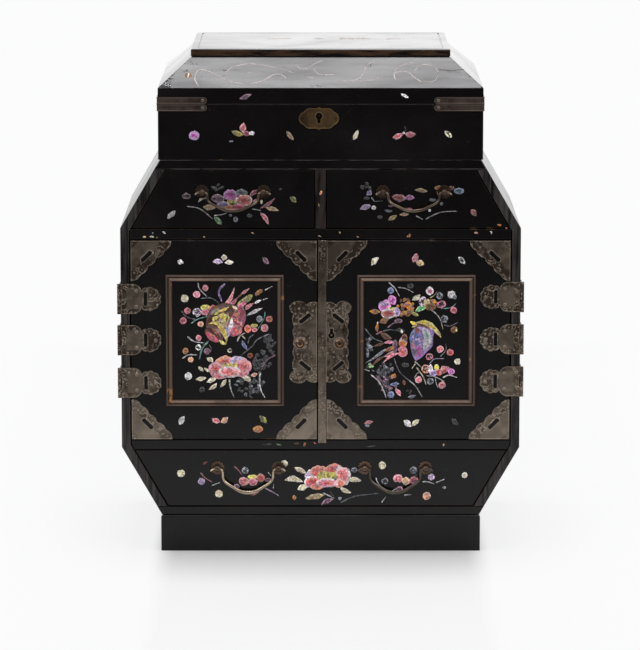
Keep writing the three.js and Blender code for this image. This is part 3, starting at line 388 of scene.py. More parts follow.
# Finishes
def outer_lacquer():
    look = bpy.context.scene.cabinet_lacquer
    material, tree, shader, where = new_finish("Black lacquer")
    vector = where.outputs["Object"]
    edges = {"Vector": vector, "Radius": 0.5 * mm, "Breakup": 75.0, "Amount": look.wear}
    wear = use_group(tree, "Edge Wear", edges)
    marks = use_group(tree, "Dust and Scratches", {"Vector": vector})
    chips = times(tree, wear["Mask"], between(tree, cloudiness(tree, vector, 38.0, 3.0), 0.6, 0.66))
    edge = times(tree, wear["Edge"], between(tree, marks["Smear"], 0.35, 0.65, 0.06, 0.3))
    rubbed = larger(tree, edge, times(tree, wear["Mask"], 0.5))
    worn = blend(tree, rubbed, opaque(look.black), opaque(look.ground))
    worn = blend(tree, chips, worn, opaque(tone(176, 132, 84)))
    haze = blend(tree, between(tree, marks["Smear"], 0.4, 0.8, 0.0, 0.02), worn, (0.18, 0.16, 0.15, 1.0))
    colour = blend(tree, times(tree, marks["Dust"], 0.22), haze, (0.35, 0.33, 0.31, 1.0))
    feed(tree, shader.inputs["Base Color"], colour)
    rough = between(tree, marks["Smear"], 0.3, 0.75, look.gloss, look.gloss + 0.1)
    rough = work_out(tree, "ADD", rough, times(tree, wear["Mask"], 0.35), clamp=True)
    rough = work_out(tree, "ADD", rough, times(tree, marks["Scratches"], 0.08), clamp=True)
    feed(tree, shader.inputs["Roughness"], rough)
    shader.inputs["Specular IOR Level"].default_value = 0.25
    swell = cloudiness(tree, vector, 26.0, 2.0, 0.4)
    cracks = cells(tree, stretched(tree, vector, (1.0, 1.0, 3.0)), 55.0, "DISTANCE_TO_EDGE")
    height = work_out(tree, "ADD", swell, times(tree, between(tree, cracks, 0.0, 0.02), 0.03))
    height = work_out(tree, "SUBTRACT", height, times(tree, wear["Mask"], 0.4))
    bump(tree, shader, height, 0.25, 0.6 * mm)
    return material


def streaked_edge(name="Rubbed lacquer edge", brown=(62, 42, 27), stretch=(1.0, 1.0, 6.0)):
    """Lacquer streaked with a second colour: rubbed brown as on the edge of the lid's panel, or pale grey on
    the ledge under the top box as a painted highlight.
    """
    look = bpy.context.scene.cabinet_lacquer
    material, tree, shader, where = new_finish(name)
    vector = where.outputs["Object"]
    along = cloudiness(tree, stretched(tree, vector, stretch), 55.0, 4.0, 0.6)
    colour = blend(tree, between(tree, along, 0.36, 0.62), opaque(look.black), opaque(tone(*brown)))
    feed(tree, shader.inputs["Base Color"], colour)
    feed(tree, shader.inputs["Roughness"], between(tree, along, 0.3, 0.7, 0.2, 0.4))
    shader.inputs["Specular IOR Level"].default_value = 0.3
    return material


def inside_lacquer():
    look = bpy.context.scene.cabinet_lacquer
    material, tree, shader, where = new_finish("Inner lacquer")
    vector = where.outputs["Object"]
    marks = use_group(tree, "Dust and Scratches", {"Vector": vector, "Dust Scale": 600.0})
    edges = {"Vector": vector, "Radius": 0.8 * mm, "Breakup": 60.0, "Amount": 0.7}
    wear = use_group(tree, "Edge Wear", edges)
    brushed = cloudiness(tree, stretched(tree, vector, (1.0, 6.0, 6.0)), 40.0, 4.0)
    brushing = between(tree, brushed, 0.3, 0.75, 0.0, 0.35)
    colour = blend(tree, brushing, opaque(look.inner), opaque(tone(86, 46, 30)))
    colour = blend(tree, times(tree, wear["Mask"], 0.5), colour, opaque(look.ground))
    colour = blend(tree, times(tree, marks["Dust"], 0.3), colour, (0.3, 0.27, 0.24, 1.0))
    feed(tree, shader.inputs["Base Color"], colour)
    feed(tree, shader.inputs["Roughness"], between(tree, marks["Smear"], 0.3, 0.8, 0.34, 0.52))
    bump(tree, shader, brushed, 0.2, 0.4 * mm)
    return material


def worn_moulding():
    look = bpy.context.scene.cabinet_moulding
    material, tree, shader, where = new_finish("Worn moulding")
    vector = where.outputs["Object"]
    grain = cloudiness(tree, stretched(tree, where.outputs["UV"], (1.0, 9.0, 1.0)), 260.0, 5.0, 0.65)
    patches = cloudiness(tree, vector, 45.0, 4.0, 0.6)
    hollow_level = FRONT - 1.9 * mm
    ridge_level = FRONT - 2.9 * mm
    high = between(tree, axes(tree, vector)["Y"], hollow_level, ridge_level)
    rubbed = times(tree, high, between(tree, patches, 0.3, 0.62, 0.35, 1.0))
    colour = blend(tree, rubbed, opaque(look.hollow), opaque(look.ridge))
    # The uprights of the frame are painted darker than its top and bottom members: painted shade
    upright_painted_shade = times(tree, attribute(tree, "upright"), 0.75)
    colour = blend(tree, upright_painted_shade, colour, opaque(tone(58, 40, 32)))
    streak = between(tree, grain, 0.35, 0.7, 0.0, 0.45)
    colour = blend(tree, streak, colour, opaque(tone(70, 48, 33)))
    chips = between(tree, cloudiness(tree, vector, 110.0, 3.0, 0.5), 0.69, 0.72)
    feed(tree, shader.inputs["Base Color"], blend(tree, chips, colour, opaque(tone(140, 96, 50))))
    feed(tree, shader.inputs["Roughness"], between(tree, grain, 0.2, 0.8, 0.38, 0.6))
    bump(tree, shader, grain, 0.35, 0.3 * mm)
    return material


# Metal is made brighter from this height down, and brightest below the next
BRIGHTER_BELOW = 200 * mm
BRIGHTEST_BELOW = 80 * mm


def old_metal(name, film, metal, engraved=None, rubbed=None, curl_scale=270.0, polish=1.0):
    """Patinated metal; engraved and rubbed are functions that give a mask in the material's tree."""
    material, tree, shader, where = new_finish(name)
    vector = where.outputs["Object"]
    edges = {"Vector": vector, "Radius": 0.35 * mm, "Breakup": 160.0, "Amount": 1.0}
    rub = use_group(tree, "Edge Wear", edges)["Mask"]
    if rubbed:
        rub = larger(tree, rub, rubbed(tree))
    inputs = {
        "Vector": vector, "Film": opaque(film), "Metal": opaque(metal), "Rubbed": rub,
        "Curl Scale": curl_scale,
        # Brighter towards the bottom
        "Brighter Low": between(tree, axes(tree, vector)["Z"], BRIGHTER_BELOW, BRIGHTEST_BELOW, 0.0, 0.42),
    }
    if engraved:
        inputs["Engraved"] = engraved(tree, where)
    look = use_group(tree, "Patina", inputs)
    feed(tree, shader.inputs["Base Color"], look["Color"])
    feed(tree, shader.inputs["Roughness"], times(tree, look["Roughness"], polish))
    shader.inputs["Metallic"].default_value = 0.9
    bump(tree, shader, look["Height"], 0.6, 0.2 * mm)
    return material


def rim_mask(tree):
    return attribute(tree, "rim")


def corner_fringe(tree, where):
    """Engraving along the lobed edge of a corner plate and in its square corner."""
    spot = axes(tree, where.outputs["UV"])
    reach = work_out(tree, "ADD", spot["X"], spot["Y"])
    edge = between(tree, reach, 0.74, 0.84)
    tips = between(tree, larger(tree, spot["X"], spot["Y"]), 0.66, 0.74)
    corner = between(tree, reach, 0.26, 0.18)
    return larger(tree, larger(tree, edge, tips), corner)


def lock_fringe(tree, where):
    """Engraving along the lobed edges of a lock plate and in patches of its field."""
    spot = axes(tree, where.outputs["UV"])
    ends = between(tree, work_out(tree, "ABSOLUTE", spot["Y"]), 0.62, 0.72)
    edge = between(tree, spot["X"], 0.62, 0.74)
    patches = between(tree, cloudiness(tree, where.outputs["Object"], 95.0, 1.0), 0.5, 0.56, 0.0, 0.8)
    return larger(tree, larger(tree, ends, edge), patches)


def hinge_fringe(tree, where):
    """Engraving on a hinge's round end and along the edges of its plate."""
    spot = axes(tree, where.outputs["UV"])
    round_end = between(tree, spot["X"], 0.5, 0.56)
    edge = between(tree, work_out(tree, "ABSOLUTE", spot["Y"]), 0.6, 0.75)
    near_pin = between(tree, spot["X"], 0.22, 0.14)
    return larger(tree, larger(tree, round_end, edge), near_pin)


def strip_engraving(tree, where):
    """Engraving down the cover strip, stronger in patches."""
    return between(tree, cloudiness(tree, where.outputs["Object"], 60.0, 2.0), 0.42, 0.55, 0.15, 0.85)


def nacre_finish():
    material, tree, shader, where = new_finish("Nacre")
    spot = axes(tree, where.outputs["UV"])
    look = use_group(tree, "Nacre", {
        "Vector": where.outputs["Object"], "Along": spot["X"], "Across": spot["Y"],
        "Deep": attribute(tree, "deep", "Color"), "Pale": attribute(tree, "pale", "Color"),
        "Lines": attribute(tree, "lines"), "Bars": attribute(tree, "bars"),
        "Rimmed": attribute(tree, "rimmed"),
    })
    feed(tree, shader.inputs["Base Color"], look["Color"])
    feed(tree, shader.inputs["Roughness"], look["Roughness"])
    shader.inputs["Coat Weight"].default_value = 0.3
    shader.inputs["Coat Roughness"].default_value = 0.1
    bump(tree, shader, look["Height"], 0.3, 0.1 * mm)
    return material


def faded_drawing():
    """What is left of the gold drawings on the lid."""
    material, tree, shader, where = new_finish("Faded drawing")
    worn = cloudiness(tree, where.outputs["Object"], 160.0, 4.0, 0.6)
    worn = between(tree, worn, 0.35, 0.65)
    colour = blend(tree, worn, opaque(tone(150, 140, 138)), opaque(tone(196, 184, 180)))
    feed(tree, shader.inputs["Base Color"], colour)
    shader.inputs["Roughness"].default_value = 0.6
    return material


# The lid's slope flakes more between these distances from its middle
FLAKES_MORE = 85 * mm
FLAKES_MOST = 142 * mm


def streaked_lacquer():
    """The lid's front slope: dulled in streaks along the grain, flaked to black at its ends."""
    material, tree, shader, where = new_finish("Streaked lacquer")
    vector = where.outputs["Object"]
    streaks = cloudiness(tree, stretched(tree, vector, (0.12, 1.0, 1.0)), 150.0, 5.0, 0.62)
    wide = cloudiness(tree, stretched(tree, vector, (0.3, 1.0, 1.0)), 30.0, 3.0)
    away = work_out(tree, "ABSOLUTE", axes(tree, vector)["X"])
    ends = between(tree, away, FLAKES_MORE, FLAKES_MOST, 0.0, 0.29)
    flaking = cloudiness(tree, stretched(tree, vector, (0.45, 1.0, 1.0)), 150.0, 4.0, 0.6)
    flaked = between(tree, work_out(tree, "ADD", flaking, ends), 0.68, 0.71)
    colour = blend(tree, streaks, (0.004, 0.003, 0.004, 1.0), (0.04, 0.034, 0.042, 1.0))
    feed(tree, shader.inputs["Base Color"], colour)
    gleam = between(tree, work_out(tree, "ADD", streaks, wide), 0.7, 1.3, 0.28, 0.5)
    whole = work_out(tree, "SUBTRACT", 1.0, times(tree, flaked, 0.92))
    feed(tree, shader.inputs["Coat Weight"], times(tree, gleam, whole))
    shader.inputs["Coat Roughness"].default_value = 0.12
    shader.inputs["Roughness"].default_value = 0.4
    shader.inputs["Specular IOR Level"].default_value = 0.05
    bump(tree, shader, work_out(tree, "SUBTRACT", streaks, flaked), 0.3, 0.3 * mm)
    return material


FINISHES = {
    "black_lacquer": outer_lacquer,
    "streaked_lacquer": streaked_lacquer,
    "faded_drawing": faded_drawing,
    "inner_lacquer": inside_lacquer,
    "worn_moulding": worn_moulding,
    "nacre": nacre_finish,
    "streaked_edge": streaked_edge,
    # Pale grey streaks on the rounded ledge under the top box: a painted highlight
    "ledge_painted_highlight": lambda: streaked_edge("Ledge painted highlight", (104, 100, 100)),
    "dull_lacquer": lambda: streaked_edge("Dulled lacquer", (40, 33, 31), (5.0, 1.0, 0.6)),
    "upright_lacquer": lambda: streaked_edge("Worn upright lacquer", (56, 53, 52), (6.0, 1.0, 0.3)),
}


def mount_finish(name):
    look = bpy.context.scene.cabinet_mounts
    grey = (look.patina, look.metal)
    kinds = {
        "corner_mount": lambda: old_metal("Corner mount metal", *grey, corner_fringe, rim_mask),
        "lock_mount": lambda: old_metal("Lock mount metal", *grey, lock_fringe, rim_mask),
        "hinge_mount": lambda: old_metal("Hinge metal", *grey, hinge_fringe, rim_mask),
        "strip_mount": lambda: old_metal("Cover strip metal", *grey, strip_engraving, None, 330.0),
        "bronze": lambda: old_metal("Bronze", look.brown, look.bronze, polish=0.4),
        "dull_bronze": lambda: old_metal("Dull bronze", tone(38, 33, 30), tone(96, 88, 80)),
        "pale_bronze": lambda: old_metal("Pale bronze", tone(88, 76, 60), tone(186, 170, 146), polish=0.7),
        "rose_bronze": lambda: old_metal("Rose bronze", tone(34, 25, 20), tone(108, 90, 76)),
        "lock_iron": lambda: old_metal("Lock iron", tone(14, 11, 9), tone(64, 54, 44)),
        "dark_bronze": lambda: old_metal("Dark bronze", tone(39, 26, 14), tone(138, 112, 80), None, rim_mask),
        "strap_bronze": lambda: old_metal("Strap bronze", tone(36, 25, 21), tone(130, 114, 106), None,
                                          rim_mask),
        "rivet": lambda: old_metal("Rivet metal", tone(96, 86, 76), tone(176, 162, 148)),
        "nail": lambda: old_metal("Nail metal", tone(26, 18, 14), tone(92, 72, 56)),
        "lock_brass": lambda: old_metal("Lock brass", tone(84, 62, 34), tone(170, 138, 84)),
        "boss": lambda: old_metal("Boss copper", tone(146, 112, 90), tone(250, 226, 200), polish=0.6),
    }
    return kinds[name]()


made_finishes = {}


def finish(name):
    """The material of that name, made when it is first asked for."""
    if name not in made_finishes:
        made_finishes[name] = FINISHES[name]() if name in FINISHES else mount_finish(name)
    return made_finishes[name]


# Making pieces
def put_in_scene(name, shape, materials):
    """A finished bmesh as an object of the scene."""
    mesh = bpy.data.meshes.new(name)
    shape.to_mesh(mesh)
    shape.free()
    made = bpy.data.objects.new(name, mesh)
    bpy.context.scene.collection.objects.link(made)
    for material in materials:
        mesh.materials.append(material)
    return made


def add_piece(name, shape, materials, body, smooth=None):
    """A finished bmesh as an object that rides on a body."""
    piece = put_in_scene(name, shape, materials)
    if smooth is not None:
        piece.data.shade_smooth()
        piece.data.set_sharp_from_angle(angle=math.radians(smooth))
    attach(piece, body)
    return piece


def add_bevel(piece, width, segments=2, angle=25.0):
    rounding = piece.modifiers.new("Rounding", "BEVEL")
    rounding.width = width
    rounding.segments = segments
    rounding.limit_method = "ANGLE"
    rounding.angle_limit = math.radians(angle)
    rounding.harden_normals = True
    return rounding


def dress(node, *finishes_named):
    """Gives a node of the frame its finish, in place of the plain one it came with."""
    mesh = nodes[node].data
    mesh.materials.clear()
    for name in finishes_named:
        mesh.materials.append(finish(name))


def merged_copy(node):
    """The node's mesh with its loose triangles joined and its flat faces whole."""
    copy = bmesh.new()
    copy.from_mesh(nodes[node].data)
    bmesh.ops.remove_doubles(copy, verts=copy.verts, dist=1e-6)
    bmesh.ops.dissolve_limit(copy, angle_limit=math.radians(1), verts=copy.verts, edges=copy.edges)
    return copy


def body_of(node):
    return next(name for name, members in frame["record"]["behaviour"]["bodies"].items() if node in members)


# Mounts
def outer_faces(copy, facing):
    """The flat front of a plate that faces one way."""
    towards = [f for f in copy.faces if f.normal.dot(facing) > 0.99 and f.calc_area() > 20 * mm * mm]
    outermost = max(f.verts[0].co.dot(facing) for f in towards)
    return [f for f in copy.faces
            if f.normal.dot(facing) > 0.99 and abs(f.verts[0].co.dot(facing) - outermost) < 0.02 * mm]


def wrapping_faces(copy, diagonal):
    """The outside of a strap that wraps a corner, seen along the corner's diagonal."""
    return [f for f in copy.faces if abs(f.normal.z) < 0.1 and f.normal.dot(diagonal) > 0.6]


def slot_to_neck(copy):
    """Moves the slot of a hinge's leaf outwards, from the middle of its round end to its neck."""
    slot_starts = 123.6 * mm
    slot_ends = 129 * mm
    half_length = 6.4 * mm
    shift = 4.2 * mm
    middle = sum(v.co.z for v in copy.verts) / len(copy.verts)
    for v in copy.verts:
        if slot_starts < abs(v.co.x) < slot_ends and abs(v.co.z - middle) < half_length:
            v.co.x += math.copysign(shift, v.co.x)


def dress_mount(node, materials, faces_of, facing, place_at, u_axis, v_axis, mark=None,
                reshape=None):
    """A plate with a raised rim round its edge and its slots; its UV is its own place on the plate."""
    look = bpy.context.scene.cabinet_mounts
    copy = merged_copy(node)
    if reshape:
        reshape(copy)
    rim = copy.faces.layers.float.new("rim")
    face = faces_of(copy, facing)
    ring = bmesh.ops.inset_region(copy, faces=face, thickness=look.rim, use_boundary=True,
                                  use_even_offset=True)
    for f in ring["faces"]:
        f[rim] = 1.0
    bmesh.ops.inset_region(copy, faces=face, thickness=0.2 * mm, depth=-look.groove, use_boundary=True,
                           use_even_offset=True)
    chart = copy.loops.layers.uv.new("plate")
    for f in copy.faces:
        if mark:
            mark(f)
        for loop in f.loops:
            spot = loop.vert.co - place_at
            loop[chart].uv = (spot.dot(u_axis), spot.dot(v_axis))
    piece = add_piece(f"{node}_engraved", copy, materials, body_of(node))
    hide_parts(node)
    return piece


def add_rivets(name, body, material, facing, rivets):
    """Round heads with a hollow in the middle; each rivet is a place, a radius and a height."""
    heads = bmesh.new()
    turn = facing.to_track_quat("Z", "Y").to_matrix().to_4x4()
    for spot, radius, height in rivets:
        middle = Matrix.Translation(Vector(spot) * mm + facing * height * mm * 0.3) @ turn
        made = bmesh.ops.create_cone(heads, cap_ends=True, segments=20, radius1=radius * mm,
                                     radius2=radius * mm * 0.74, depth=height * mm, matrix=middle)
        around = {f for v in made["verts"] for f in v.link_faces}
        top = [max(around, key=lambda f: f.calc_center_median().dot(facing))]
        bmesh.ops.inset_region(heads, faces=top, thickness=radius * mm * 0.3, depth=-height * mm * 0.1)
        bmesh.ops.inset_region(heads, faces=top, thickness=radius * mm * 0.12, depth=-height * mm * 0.45)
    return add_piece(name, heads, [material], body, 35)


class DressCabinet(bpy.types.Operator):
    """Gives the boards, the drawers and the locks their finishes"""

    bl_idname = "cabinet.dress"
    bl_label = "Finish boards and drawers"

    def execute(self, context):
        for node in ("floor_board", "back_panel", "left_door_board", "right_door_board"):
            dress(node, "black_lacquer")
        for node in ("base_plinth", "lower_shelf", "upper_shelf", "box_walls"):
            self.round_edges(node, lambda face: 0, "black_lacquer")
        for node in ("left_side_wall", "right_side_wall"):
            self.round_edges(node, lambda face: int(face.normal.y < -0.9), "black_lacquer", "upright_lacquer")
        # The rounded edge of the ceiling board gets the pale grey ledge finish, a painted highlight
        ledge = self.round_edges("ceiling_board", lambda face: 0, "black_lacquer", "ledge_painted_highlight")
        ledge.width = bpy.context.scene.cabinet_lacquer.ledge
        ledge.material = 1
        self.round_edges("drawer_divider", lambda face: 0, "dull_lacquer")
        self.round_edges("lid_top_panel", lambda face: int(abs(face.normal.z) < 0.5),
                         "black_lacquer", "streaked_edge")
        self.round_edges("lid_shell", lambda face: int(face.normal.y < -0.3 and face.normal.z > 0.3),
                         "black_lacquer", "streaked_lacquer")
        for node in ("inner_board_1", "inner_drawer_1", "inner_drawer_2"):
            dress(node, "inner_lacquer")
        for node in ("lid_lock", "door_lock_bolt"):
            dress(node, "lock_iron")
        for node in ("left_lid_hinge_box_leaf", "right_lid_hinge_box_leaf", "left_lid_hinge_lid_leaf",
                     "right_lid_hinge_lid_leaf"):
            dress(node, "lock_brass")
        before_board = FRONT - 0.02 * mm
        behind_board = FRONT + 5 * mm
        for node in ("upper_left_drawer", "upper_right_drawer", "bottom_drawer"):
            dress(node, "black_lacquer", "inner_lacquer", "rose_bronze")
            for polygon in nodes[node].data.polygons:
                if polygon.center.y < before_board:
                    polygon.material_index = 2
                elif polygon.center.y > behind_board:
                    polygon.material_index = 1
        return {"FINISHED"}

    def round_edges(self, node, choose, *finishes_named):
        """A board with its edges rubbed round; choose gives each face its finish."""
        copy = merged_copy(node)
        for face in copy.faces:
            face.material_index = choose(face)
        piece = add_piece(f"{node}_rounded", copy, [finish(name) for name in finishes_named], body_of(node))
        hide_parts(node)
        return add_bevel(piece, bpy.context.scene.cabinet_lacquer.rounding)


# Section of the moulding from its outer edge inwards: how far each step runs in, and how far it rises
MOULDING_STEPS = (
    (0.02, 1.7), (0.45, 0.75), (0.85, 0.1), (0.35, -0.55), (0.3, -0.45), (0.45, 0.75),
    (0.5, 0.6), (0.55, 0.22), (0.55, -0.1), (0.55, -0.5), (0.5, -1.15),
)


class MakeMouldings(bpy.types.Operator):
    """Makes the moulded frame round the panel of each door"""

    bl_idname = "cabinet.mouldings"
    bl_label = "Mouldings"

    def execute(self, context):
        look = context.scene.cabinet_moulding
        base = FRONT + 0.1 * mm
        for word, _ in SIDES:
            low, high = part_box(f"{word}_door_moulding")
            width, height = high.x - low.x, high.z - low.z
            frame_mesh = bmesh.new()
            flat = Matrix.Translation(((low.x + high.x) / 2, base, (low.z + high.z) / 2))
            flat = flat @ Matrix.Rotation(math.pi / 2, 4, "X") @ Matrix.Diagonal((width, height, 1, 1))
            bmesh.ops.create_grid(frame_mesh, x_segments=1, y_segments=1, size=0.5, matrix=flat)
            middle = frame_mesh.faces[:]
            for inset, rise in MOULDING_STEPS:
                bmesh.ops.inset_region(frame_mesh, faces=middle, thickness=inset * mm, depth=rise * mm,
                                       use_boundary=True, use_even_offset=True)
            left_to_base = middle[0].verts[0].co.y - base
            bmesh.ops.inset_region(frame_mesh, faces=middle, thickness=0.02 * mm, depth=left_to_base,
                                   use_boundary=True, use_even_offset=True)
            bmesh.ops.delete(frame_mesh, geom=middle, context="FACES_ONLY")
            bmesh.ops.bridge_loops(frame_mesh, edges=[e for e in frame_mesh.edges if e.is_boundary])
            bmesh.ops.recalc_face_normals(frame_mesh, faces=frame_mesh.faces)
            chart = frame_mesh.loops.layers.uv.new("grain")
            upright = frame_mesh.faces.layers.float.new("upright")
            for face in frame_mesh.faces:
                longest = max(face.edges, key=lambda e: e.calc_length())
                run = longest.verts[1].co - longest.verts[0].co
                lengthwise = abs(run.x) > abs(run.z)
                face[upright] = 0.0 if lengthwise else 1.0
                for loop in face.loops:
                    x, y, z = loop.vert.co
                    loop[chart].uv = (x, z - y) if lengthwise else (z, x - y)
            piece = add_piece(f"{word}_worn_moulding", frame_mesh, [finish("worn_moulding")], f"{word}_door")
            add_bevel(piece, look.rounding, 2, 12.0)
            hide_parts(f"{word}_door_moulding")
        return {"FINISHED"}


# Rivets of a hinge's door leaf: how far each is from the pin, and how far above the leaf's middle
HINGE_RIVETS = ((12.9, 6.0), (12.9, -6.0), (27.4, -0.4))
# The bronze plates' UV: 60 to a metre, across and up
BRONZE_ACROSS = Vector((60, 0, 0))
BRONZE_UP = Vector((0, 0, 60))


class MakeMounts(bpy.types.Operator):
    """Makes the engraved corner plates, lock plates, hinges, straps, escutcheon and cover strip"""

    bl_idname = "cabinet.mounts"
    bl_label = "Metal mounts"

    def execute(self, context):
        for word, side in SIDES:
            self.corner_plates(word)
            self.lock_plate(word, side)
            self.hinges(word, side)
            self.straps(word, side)
        low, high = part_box("box_escutcheon")
        middle = (low + high) / 2
        dress_mount("box_escutcheon", [finish("dark_bronze")], outer_faces, FACING_FRONT, middle,
                    BRONZE_ACROSS, BRONZE_UP)
        plate_front = low.y / mm
        reach = 12.4
        ends = [((middle.x / mm + side * reach, plate_front, middle.z / mm), 0.9, 0.5) for _, side in SIDES]
        add_rivets("escutcheon_nails", "cabinet", finish("nail"), FACING_FRONT, ends)
        dress("door_cover_strip", "strip_mount")
        self.keyhole_pins()
        return {"FINISHED"}

    def corner_plates(self, word):
        for level, z_side in (("bottom", 1), ("top", -1)):
            for end, x_side in (("left", 1), ("right", -1)):
                node = f"{word}_door_{level}_{end}_plate"
                low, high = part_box(node)
                corner = Vector((low.x if x_side > 0 else high.x, 0, low.z if z_side > 0 else high.z))
                reach = high.x - low.x
                dress_mount(node, [finish("corner_mount")], outer_faces, FACING_FRONT, corner,
                            Vector((x_side / reach, 0, 0)), Vector((0, 0, z_side / reach)))

    def lock_plate(self, word, side):
        node = f"{word}_lock_plate"
        low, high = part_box(node)
        straight = Vector((high.x if side < 0 else low.x, 0, (low.z + high.z) / 2))
        boss = Vector((-15.4, 159.6)) if side < 0 else Vector((14.3, 159.6))
        boss_radius = 4.3
        stud_radius = 1.7
        plate_front = FRONT - 0.92 * mm

        def mark(face):
            spot = face.calc_center_median()
            reach = (Vector((spot.x, spot.z)) / mm - boss).length
            if reach < boss_radius and spot.y < plate_front:
                face.material_index = 1 if reach > stud_radius else 2

        dress_mount(node, [finish("lock_mount"), finish("boss"), finish("nail")], outer_faces, FACING_FRONT,
                    straight, Vector((side / (high.x - low.x), 0, 0)), Vector((0, 0, 2 / (high.z - low.z))),
                    mark=mark)
        front = FRONT / mm - 0.75
        radius = 0.95
        height = 0.6
        spots = {
            "left": ((-16.5, 169.8), (-16.3, 150), (-12.1, 190.1), (-13.9, 136.1)),
            "right": ((18.1, 172.8), (18.1, 147.9), (12.6, 137)),
        }
        nails = [((x, front, z), radius, height) for x, z in spots[word]]
        add_rivets(f"{word}_lock_plate_nails", f"{word}_door", finish("nail"), FACING_FRONT,
                   nails)
        if word == "right":
            add_rivets("right_lock_plate_bright_nail", "right_door", finish("rivet"),
                       FACING_FRONT, [((12.4, front, 184.9), radius, height)])

    def hinges(self, word, side):
        rivets = []
        pin_away = 151.2
        pin_front = -93.2
        radius = 1.75
        height = 0.7
        for number in (1, 2, 3):
            for kind, facing, run, reshape in (
                ("door", FACING_FRONT, Vector((-side, 0, 0)), slot_to_neck),
                ("wall", Vector((side, 0, 0)), Vector((0, 1, 0)), None),
            ):
                node = f"{word}_hinge_{number}_{kind}_leaf"
                low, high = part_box(node)
                pin = Vector((side * pin_away * mm, pin_front * mm, (low.z + high.z) / 2))
                length = (high - low).dot(Vector((abs(run.x), abs(run.y), 0)))
                dress_mount(node, [finish("hinge_mount")], outer_faces, facing, pin, run / length,
                            Vector((0, 0, 2 / (high.z - low.z))), reshape=reshape)
            for away, rise in HINGE_RIVETS:
                spot = (side * (pin_away - away), FRONT / mm - height, pin.z / mm + rise)
                rivets.append((spot, radius, height))
        add_rivets(f"{word}_hinge_rivets", f"{word}_door", finish("rivet"), FACING_FRONT,
                   rivets)

    def straps(self, word, side):
        from_end = 3.2
        sunk = 0.1
        radius = 1.5
        height = 0.6
        for kind, body in (("box", "cabinet"), ("lid", "lid")):
            node = f"{word}_{kind}_strap"
            low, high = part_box(node)
            level = (low.z + high.z) / 2
            start = Vector((side * 0.12, low.y, level))
            diagonal = Vector((side, -1, 0)).normalized()
            dress_mount(node, [finish("strap_bronze")], wrapping_faces, diagonal, start,
                        BRONZE_ACROSS, BRONZE_UP)
            end = low.x if side > 0 else high.x
            spot = (end / mm + side * from_end, low.y / mm + sunk, level / mm)
            add_rivets(f"{word}_{kind}_strap_rivet", body, finish("rivet"), FACING_FRONT,
                       [(spot, radius, height)])

    def keyhole_pins(self):
        """The pins that the keys turn on, inside the two keyholes."""
        box_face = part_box("box_walls")[0].y
        lock_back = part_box("lid_lock")[0].y + 1 * mm
        for name, body, metal, x, z, start, end in (
            ("door_keyhole_pin", "right_door", "pale_bronze", 8.2, 165.6,
             FRONT + 5.9 * mm, FRONT - 0.2 * mm),
            ("box_keyhole_pin", "cabinet", "nail", -1.2, 331.2, lock_back, box_face + 1.2 * mm),
        ):
            pin = bmesh.new()
            middle = Matrix.Translation((x * mm, (start + end) / 2, z * mm))
            middle = middle @ Matrix.Rotation(math.pi / 2, 4, "X")
            bmesh.ops.create_cone(pin, cap_ends=True, segments=16, radius1=0.95 * mm, radius2=0.8 * mm,
                                  depth=start - end, matrix=middle)
            add_piece(name, pin, [finish(metal)], body, 35)


BAIL_METALS = {
    "upper_left_bail": "bronze",
    "upper_right_bail": "bronze",
    "bottom_left_bail": "pale_bronze",
    "bottom_right_bail": "dull_bronze",
}


class MakeBails(bpy.types.Operator):
    """Makes the four swelling bails of the drawer handles"""

    bl_idname = "cabinet.bails"
    bl_label = "Bails"

    def execute(self, context):
        for node, metal in BAIL_METALS.items():
            copy = bmesh.new()
            copy.from_mesh(nodes[node].data)
            bmesh.ops.remove_doubles(copy, verts=copy.verts, dist=1e-6)
            bmesh.ops.join_triangles(copy, faces=copy.faces, angle_face_threshold=math.radians(40),
                                     angle_shape_threshold=math.radians(40))
            piece = add_piece(f"{node}_cast", copy, [finish(metal)], node, 60)
            smoothing = piece.modifiers.new("Smooth", "SUBSURF")
            smoothing.levels = 2
            smoothing.render_levels = 2
            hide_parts(node)
        return {"FINISHED"}


# Nacre inlay: the deep and the pale colour of each kind of shell
NACRE = {
    "cream": ((214, 200, 158), (250, 243, 222)),
    "white": ((196, 190, 198), (250, 248, 250)),
    "pink": ((204, 78, 102), (242, 178, 186)),
    "rose": ((150, 50, 74), (222, 140, 158)),
    "red": ((168, 38, 46), (228, 126, 122)),
    "coral": ((206, 92, 74), (238, 168, 146)),
    "peach": ((206, 140, 104), (238, 196, 166)),
    "magenta": ((160, 56, 140), (222, 150, 214)),
    "violet": ((116, 84, 160), (206, 182, 228)),
    "lilac": ((170, 140, 190), (226, 208, 236)),
    "mauve": ((92, 58, 82), (168, 130, 150)),
    "blue": ((70, 84, 130), (150, 164, 200)),
    "amber": ((150, 82, 30), (198, 134, 66)),
    "brown": ((82, 42, 24), (138, 86, 52)),
    "gold": ((204, 176, 58), (240, 226, 132)),
    "olive": ((124, 118, 54), (184, 178, 100)),
    "tan": ((168, 140, 98), (208, 186, 144)),
    "green": ((70, 140, 92), (170, 212, 152)),
    "cyan": ((58, 128, 118), (150, 204, 192)),
    "grey": ((74, 78, 88), (146, 152, 162)),
    "ghost": ((30, 30, 33), (66, 68, 72)),
}
DARK_CENTRE = (30, 20, 24)
RIMMED = ("pink", "rose", "red", "coral", "magenta", "peach", "violet", "mauve")

# Width of a flake at each share of its length, as a share of its full width
PROFILES = {
    "petal": lambda s: math.sqrt(max(0.0, 1 - (2 * s - 1) ** 2)),
    "leaf": lambda s: math.sin(math.pi * s) ** 0.9,
    "drop": lambda s: 2.38 * s ** 0.8 * math.sqrt(max(0.0, 1 - s)),
    "plume": lambda s: math.sin(math.pi * s ** 0.7),
    "bar": lambda s: min(1.0, 7 * s, 7 * (1 - s)),
    "twig": lambda s: (1 - 0.45 * s) * min(1.0, 12 * s, 12 * (1 - s)),
}


